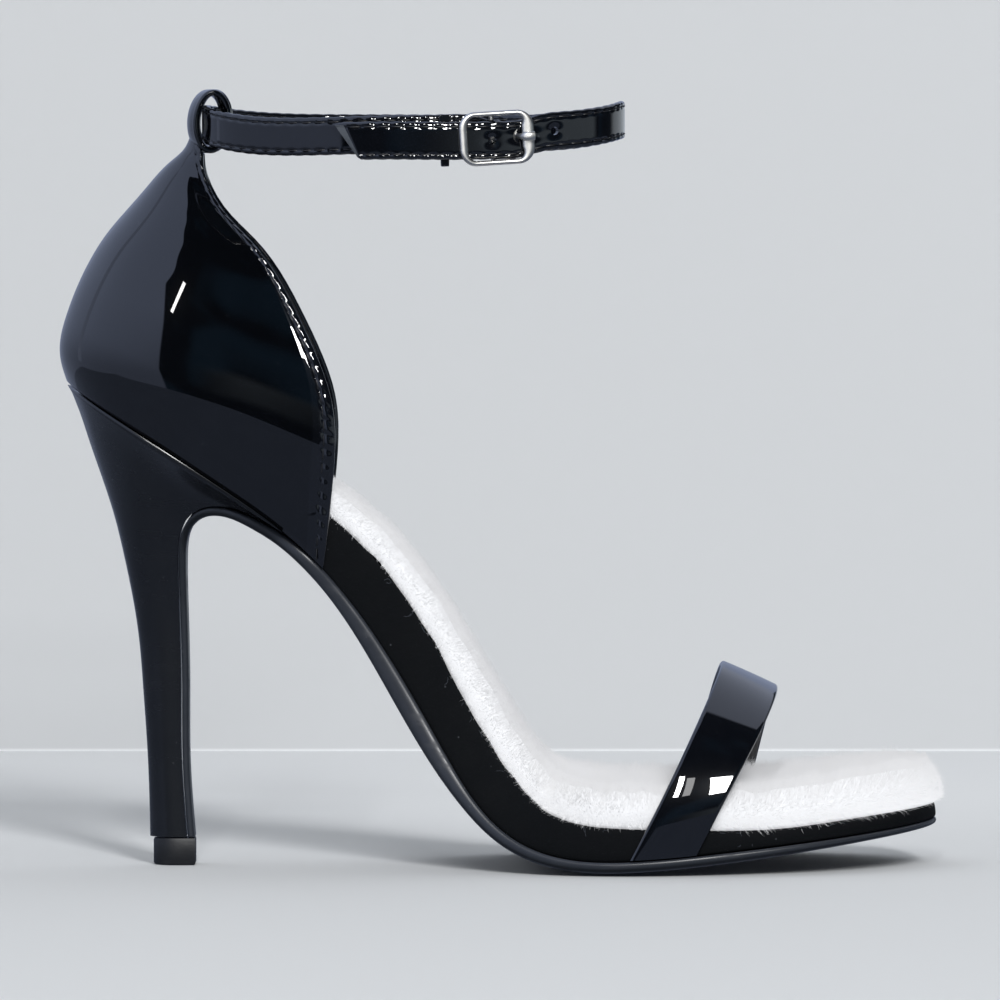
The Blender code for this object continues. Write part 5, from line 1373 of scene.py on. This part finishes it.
def strap_cutters():
    """Forms of the buckle holes in the tail, and of the prong's slot in the fold."""
    forms = []
    angles = np.linspace(0.0, 2 * math.pi, HOLE_SIDES, endpoint=False)
    low, high = TAIL_LAYER - STRAP_THICKNESS / 2 - GAP / 2, TAIL_LAYER + STRAP_THICKNESS
    for along, longer, rise in strap_holes():
        lengths = OVAL_ROUND - along + HOLE_RADIUS * longer * np.cos(angles)
        ups = rise + HOLE_RADIUS * np.sin(angles)
        loops = [[strap_point(length, out, up) for length, up in zip(lengths, ups)] for out in (low, high)]
        forms.append(cutter(*loops))
    below, above = -BUCKLE_DROP - SLOT_HALF, -BUCKLE_DROP + SLOT_HALF
    corners = ((SLOT_IN, below), (SLOT_IN, above), (SLOT_OUT, above), (SLOT_OUT, below))
    loops = [[strap_point(length, *corner) for corner in corners] for length in (SLOT_BACK, SLOT_FRONT)]
    forms.append(cutter(*loops))
    return forms


def add_ankle_strap(material, thread, raw):
    route = strap_route()
    knots = running_length([row[:2] for row in route])
    fine = spline(knots, route)(np.linspace(0.0, knots[-1], round(knots[-1] / STRAP_FINE_STEP)))
    lengths, outs, rises, thicknesses = fine.T
    flat = np.array([strap_point(*row) for row in fine[:, :3]])
    ahead = unit(np.gradient(flat[:, :2], axis=0))
    aside = np.stack([-ahead[:, 1], ahead[:, 0], 0 * lengths], axis=1)[:, None, :]
    rim = STRAP_WIDTH / 2 - STRAP_THICKNESS / 2
    ups = np.linspace(-rim, rim, STRAP_COLUMNS)
    last_half = np.arange(len(fine)) > len(fine) / 2
    slants = TAIL_SLANT * np.clip((lengths - lengths[-1] + STRAP_STEP) / STRAP_STEP, 0.0, 1.0) * last_half
    middle = flat[:, None, :] + ups[None, :, None] * np.array([0.0, 0.0, 1.0])
    for i in np.flatnonzero(slants):
        middle[i] = [strap_point(lengths[i] + slants[i] * up / rim, outs[i], rises[i] + up) for up in ups]
    inset = np.broadcast_to(STRAP_WIDTH / 2 - np.abs(ups), middle.shape[:2])
    run = running_length(flat)[:, None]
    relief = seam_relief(inset, run, STRAP_STITCH_IN, STRAP_BEAD)
    outer_relief = relief.copy()
    for along, longer, rise in strap_holes():
        beside = (lengths - OVAL_ROUND + along)[:, None] / longer
        from_hole = np.hypot(beside, ups + rises[:, None] - rise) / HOLE_RADIUS
        outer_relief -= HOLE_DIMPLE * np.exp(-(from_hole / HOLE_DIMPLE_REACH) ** 2) * last_half[:, None]
    cut = np.clip((lengths - lengths[-1] + TAIL_CUT_LENGTH) / TAIL_CUT_LENGTH, 0.0, 1.0) * last_half
    outer_relief -= TAIL_CUT_DEPTH * cut[:, None]
    half = thicknesses[:, None, None] / 2
    outer = middle + aside * (half + outer_relief[..., None])
    inner = middle - aside * (half + relief[..., None])
    strap = make_solid("ankle_strap_patent", *wall_mesh(outer, inner), material, "patent", "ankle_strap")
    cut_away(strap, strap_cutters())
    end = np.flatnonzero(cut)
    skin = outer[end] + TAIL_CUT_OVER * aside[end]
    vertices, faces = wall_mesh(skin, skin - TAIL_CUT_SKIN * aside[end])
    make_solid("tail_cut_edge", vertices, faces, raw, "patent", "ankle_strap")
    stitches = []
    centre = STRAP_COLUMNS // 2
    for columns in (slice(centre, None), slice(centre - 1, None, -1)):
        for face, way in ((middle + aside * half, aside), (middle - aside * half, -aside)):
            line = line_across(face[:, columns], inset[:, columns], STRAP_STITCH_IN)
            stitches += stitch_row(line, way[:, 0])
    make_piece("ankle_strap_stitches", *join_meshes(stitches), thread, "patent", ["ankle_strap"])


def buckle_point(along, out, up):
    """A point of the buckle: along the strap to its front, out from it and up, all from the bar's foot."""
    place, outward, height = oval(BAR_ON_OVAL)
    ahead = np.array([-outward[1], outward[0]])
    turned = along * math.cos(BUCKLE_ROLL) - up * math.sin(BUCKLE_ROLL)
    risen = along * math.sin(BUCKLE_ROLL) + up * math.cos(BUCKLE_ROLL)
    return np.array([*(place + ahead * turned + outward * out), height - BUCKLE_DROP + risen])


def buckle_path():
    """Round the frame's outside: the centre of each corner's round, and the direction away from it."""
    length, height = BUCKLE_LENGTH / 2 - BUCKLE_CORNER, BUCKLE_HEIGHT / 2 - BUCKLE_CORNER
    path = []
    for turn, (along, up) in enumerate(((1, 1), (-1, 1), (-1, -1), (1, -1))):
        for angle in math.pi / 2 * (turn + np.linspace(0.0, 1.0, BUCKLE_CORNER_STEPS + 1)):
            path.append((along * length, up * height, math.cos(angle), math.sin(angle)))
        if turn % 2 == 0:
            for part in np.linspace(1.0, -1.0, BUCKLE_RAIL_STEPS)[1:-1]:
                path.append((along * part * length, up * height, 0.0, float(up)))
    return path


def add_buckle_frame(material):
    section = np.linspace(0.0, 2 * math.pi, BUCKLE_SECTION, endpoint=False)
    rings = []
    for centre_along, centre_up, away_along, away_up in buckle_path():
        side = BUCKLE_FRONT if away_along > 0 else BUCKLE_BACK
        width = BUCKLE_RAIL + (side - BUCKLE_RAIL) * away_along ** 2
        ring = []
        for angle in section:
            reach = BUCKLE_CORNER - width * (1 - math.cos(angle)) / 2
            along, up = centre_along + away_along * reach, centre_up + away_up * reach
            bow = BUCKLE_BOW * (1 - min(1.0, (2 * along / BUCKLE_LENGTH) ** 2))
            ring.append(buckle_point(along, BUCKLE_OUT - bow + math.sin(angle) * BUCKLE_DEPTH / 2, up))
        rings.append(ring)
    rings = np.array(rings)
    faces = grid_faces(*rings.shape[:2], round_rows=True, round_columns=True)
    make_solid("buckle_ring", rings.reshape(-1, 3), faces, material, "nickel", "buckle_frame")
    rail = (BUCKLE_HEIGHT - BUCKLE_RAIL) / 2
    way = [(BUCKLE_OUT - BUCKLE_BOW, rail), (POST_OUT, rail)]
    way += [(BAR_OUT + BAR_BEND, rail), (BAR_OUT, rail - BAR_BEND)]
    way += [(BAR_OUT, 0.0)] + [(out, -up) for out, up in way[::-1]]
    vertices, faces = tube([buckle_point(0.0, out, up) for out, up in way], BAR_RADIUS, PRONG_SIDES)
    make_solid("buckle_bar", vertices, faces, material, "nickel", "buckle_frame")


def add_buckle_prong(material):
    hook = HOOK_START + HOOK_STEP * np.arange(HOOK_COUNT)
    way = [(PRONG_HOOK * math.cos(turn), BAR_OUT + PRONG_HOOK * math.sin(turn)) for turn in hook]
    way += PRONG_WAY
    lengths = running_length(way)
    smooth = spline(lengths, way)(np.linspace(0.0, lengths[-1], PRONG_ROWS))
    path = [(along, out, 0.0) for along, out in smooth]
    vertices, faces = tube(path, PRONG_RADIUS, PRONG_SIDES)
    shaped = []
    for along, out, up in vertices:
        beyond = ease((along - PRONG_FLAT_START) / PRONG_FLAT_LENGTH) if out > TAIL_LAYER else 0.0
        shaped.append(buckle_point(along, out, up * (1 + PRONG_FLAT * beyond)))
    make_solid("buckle_tongue", shaped, faces, material, "nickel", "buckle_prong")


def add_strap_keeper(material):
    low, high = -STRAP_THICKNESS / 2 - GAP, STRAP_THICKNESS / 2 + GAP
    under, over = -STRAP_WIDTH / 2 - GAP - KEEPER_DROOP, STRAP_WIDTH / 2 + GAP + UNDER_LIFT - KEEPER_SNUG
    places = KEEPER_WIDTH * np.linspace(-0.5, 0.5, KEEPER_PLACES)
    grids = []
    for wall in (KEEPER_WALL, 0.0):
        ring = []
        for turn, (out, up) in enumerate(((high, over), (low, over), (low, under), (high, under))):
            for angle in math.pi / 2 * (turn + np.linspace(0.0, 1.0, KEEPER_TURNS)):
                corner = out + wall * math.cos(angle), up + wall * math.sin(angle)
                narrow = 1 - KEEPER_TAPER * float(ease(-(corner[1] + STRAP_WIDTH / 2) / KEEPER_DROOP))
                ring.append([strap_point(KEEPER_BACK + narrow * place, *corner) for place in places])
        grids.append(np.array(ring))
    rings = rounded_wall(grids[0], grids[1], EDGE_STEPS, EDGE_STEPS)
    faces = grid_faces(*rings.shape[:2], round_rows=True, round_columns=True)
    make_solid("strap_keeper_patent", rings.reshape(-1, 3), faces, material, "patent", "strap_keeper")


# Studio
def add_camera():
    forward = Vector((0.0, math.cos(CAMERA_PITCH), -math.sin(CAMERA_PITCH)))
    lens = bpy.data.cameras.new("camera")
    lens.sensor_width = SENSOR_WIDTH
    lens.lens = SENSOR_WIDTH * CAMERA_DISTANCE / FRAME_WIDTH
    lens.clip_end = CAMERA_REACH
    camera = bpy.data.objects.new("camera", lens)
    camera.location = CAMERA_TARGET - forward * CAMERA_DISTANCE
    camera.rotation_euler = forward.to_track_quat("-Z", "Y").to_euler()
    show(camera)
    bpy.context.scene.camera = camera


def add_stage(material):
    """A pale floor, and a wall behind the shoe."""
    line = [(-STAGE_REACH, 0.0), (WALL_Y, 0.0), (WALL_Y, STAGE_REACH)]
    vertices = [(side, y, z) for y, z in line for side in (-STAGE_REACH, STAGE_REACH)]
    faces = [(2 * i, 2 * i + 1, 2 * i + 3, 2 * i + 2) for i in range(len(line) - 1)]
    mesh = bpy.data.meshes.new("floor")
    mesh.from_pydata(vertices, [], faces)
    mesh.materials.append(material)
    floor = bpy.data.objects.new("floor", mesh)
    floor.visible_glossy = False
    show(floor)


def add_card(name, corners, colours):
    """A card that only mirrors see."""
    mesh = bpy.data.meshes.new(name)
    mesh.from_pydata(corners, [], [(0, 1, 2, 3)])
    mesh.materials.append(card_material(name, *colours))
    card = bpy.data.objects.new(name, mesh)
    for ray in ("camera", "diffuse", "transmission", "volume_scatter", "shadow"):
        setattr(card, "visible_" + ray, False)
    show(card)


def add_cards():
    """What the lacquer mirrors of the floor, up to its front edge, and of an upright edge on the left."""
    floor = [(-CARD_REACH, CARD_FRONT, -MM), (CARD_REACH, CARD_FRONT, -MM)]
    floor += [(CARD_REACH, WALL_Y, -MM), (-CARD_REACH, WALL_Y, -MM)]
    add_card("mirrored_floor", floor, FLOOR_MIRRORED)
    around = math.radians(EDGE_AZIMUTH)
    away, across = (math.sin(around), -math.cos(around)), (math.cos(around), math.sin(around))
    upright = []
    for side, z in ((-1, 0.0), (1, 0.0), (1, EDGE_HEIGHT), (-1, EDGE_HEIGHT)):
        foot = [EDGE_DISTANCE * a + side * EDGE_WIDTH / 2 * b for a, b in zip(away, across)]
        upright.append((*foot, z))
    add_card("mirrored_edge", upright, EDGE_MIRRORED)


def add_softbox(name, azimuth, elevation, distance, width, height, radiance, turn):
    """A rectangular light that faces the shoe; azimuth 0 is the camera's side."""
    around, above = math.radians(azimuth), math.radians(elevation)
    away = Vector((math.sin(around) * math.cos(above), -math.cos(around) * math.cos(above), math.sin(above)))
    lamp = bpy.data.lights.new(name, "AREA")
    lamp.shape = "RECTANGLE"
    lamp.size, lamp.size_y = width, height
    lamp.energy = 4 * width * height * radiance
    light = bpy.data.objects.new(name, lamp)
    light.location = LIGHT_AIM + away * distance
    facing = (-away).to_track_quat("-Z", "Y")
    light.rotation_euler = (facing @ Quaternion((0.0, 0.0, 1.0), math.radians(turn))).to_euler()
    light.visible_camera = False
    show(light)
    return light


def light_only(light, names, state):
    """Lets a light reach only the named pieces, or all but those."""
    group = bpy.data.collections.new(light.name + "_pieces")
    for name in names:
        group.objects.link(bpy.data.objects[name])
    for member in group.collection_objects:
        member.light_linking.link_state = state
    light.light_linking.receiver_collection = group


def set_world():
    """A pale dome for soft light; mirrors see a studio with a wide window on the left."""
    world = bpy.data.worlds.new("studio")
    world.use_nodes = True
    world.cycles.sampling_method = "NONE"
    tree = world.node_tree
    way = tree.nodes.new("ShaderNodeSeparateXYZ")
    direction = tree.nodes.new("ShaderNodeTexCoord").outputs["Generated"]
    tree.links.new(direction, way.inputs[0])
    x, y, z = way.outputs
    # The window lies below zero, beyond a leaning plane that bends near the top
    beside = weighted(tree, (x, 0.94), (y, -0.338), (z, 0.104), (smooth(tree, z, 0.75, 0.97), -0.26),
                      (x, smooth(tree, z, 0.6, 0.73, 0.0, 0.66)))
    overhead = calc(tree, "MULTIPLY", smooth(tree, z, 0.8, 0.9), smooth(tree, y, -0.1, -0.3))
    window = smooth(tree, weighted(tree, (beside, 1.0), (overhead, 0.16)), 0.03, 0.0)
    # A pale patch high up behind the shoe, on the right
    behind = calc(tree, "MULTIPLY", smooth(tree, weighted(tree, (y, 1.0), (x, -0.6)), -0.09, -0.05),
                  calc(tree, "MULTIPLY", smooth(tree, z, 0.35, 0.5), smooth(tree, x, -0.02, 0.06)))
    # The window is dimmer low down and far back
    height = smooth(tree, z, -0.1, 0.45, 0.5, 1.0)
    depth = smooth(tree, y, 0.15, 0.9, 1.0, 0.8)
    bright = mix_colours(tree, calc(tree, "MULTIPLY", height, depth), (0.0, 0.0, 0.0, 1.0), WINDOW_COLOUR)
    # Dim shapes in the dark room
    shapes = smooth(tree, noise(tree, direction, 3.2, 1.0), 0.5, 0.72)
    room = mix_colours(tree, shapes, ROOM_COLOUR, ROOM_SHAPES_COLOUR)
    mirrored = mix_colours(tree, behind, mix_colours(tree, window, room, bright), BACK_COLOUR)
    # Two glows at the horizon, on the right and far back
    level = smooth(tree, calc(tree, "ABSOLUTE", z), 0.12, 0.05)
    right = calc(tree, "MULTIPLY", smooth(tree, x, -0.1, 0.6), smooth(tree, y, 0.12, -0.03))
    mirrored = mix_colours(tree, calc(tree, "MULTIPLY", right, level), mirrored, GLOW_COLOUR)
    far = calc(tree, "MULTIPLY", smooth(tree, y, 0.5, 0.66), smooth(tree, x, 0.0, 0.2))
    mirrored = mix_colours(tree, calc(tree, "MULTIPLY", far, level), mirrored, FAR_GLOW_COLOUR)
    path = tree.nodes.new("ShaderNodeLightPath")
    seen = mix_colours(tree, path.outputs["Is Glossy Ray"], DOME_COLOUR, mirrored)
    tree.links.new(seen, tree.nodes["Background"].inputs["Color"])
    bpy.context.scene.world = world


def set_lights():
    """Softboxes by the camera, a thin strip for the counter's streak, and a fill for the buckle."""
    for light in LIGHTS:
        light_only(add_softbox(*light[:-2]), light.pieces, light.state)


def main():
    add_camera()
    add_stage(stage_material())
    add_cards()
    set_world()
    finishes = make_finishes()
    patent, thread, nickel = (finishes[name] for name in ("patent", "thread", "nickel"))
    add_outsole(finishes["sole"])
    add_wrapped_insole(finishes["wrap"])
    add_fur_pile(finishes["pile"])
    add_fur_hairs(finishes["hair"])
    add_stray_hairs(finishes["shed"])
    add_heel(finishes["covering"])
    add_top_piece(finishes["rubber"])
    add_heel_counter(patent, thread, finishes["lining"])
    add_strap_loop(patent)
    add_toe_strap(patent)
    add_ankle_strap(patent, thread, finishes["raw"])
    add_strap_keeper(patent)
    add_buckle_frame(nickel)
    add_buckle_prong(nickel)
    set_lights()
    bpy.context.scene.view_settings.view_transform = "Standard"


main()
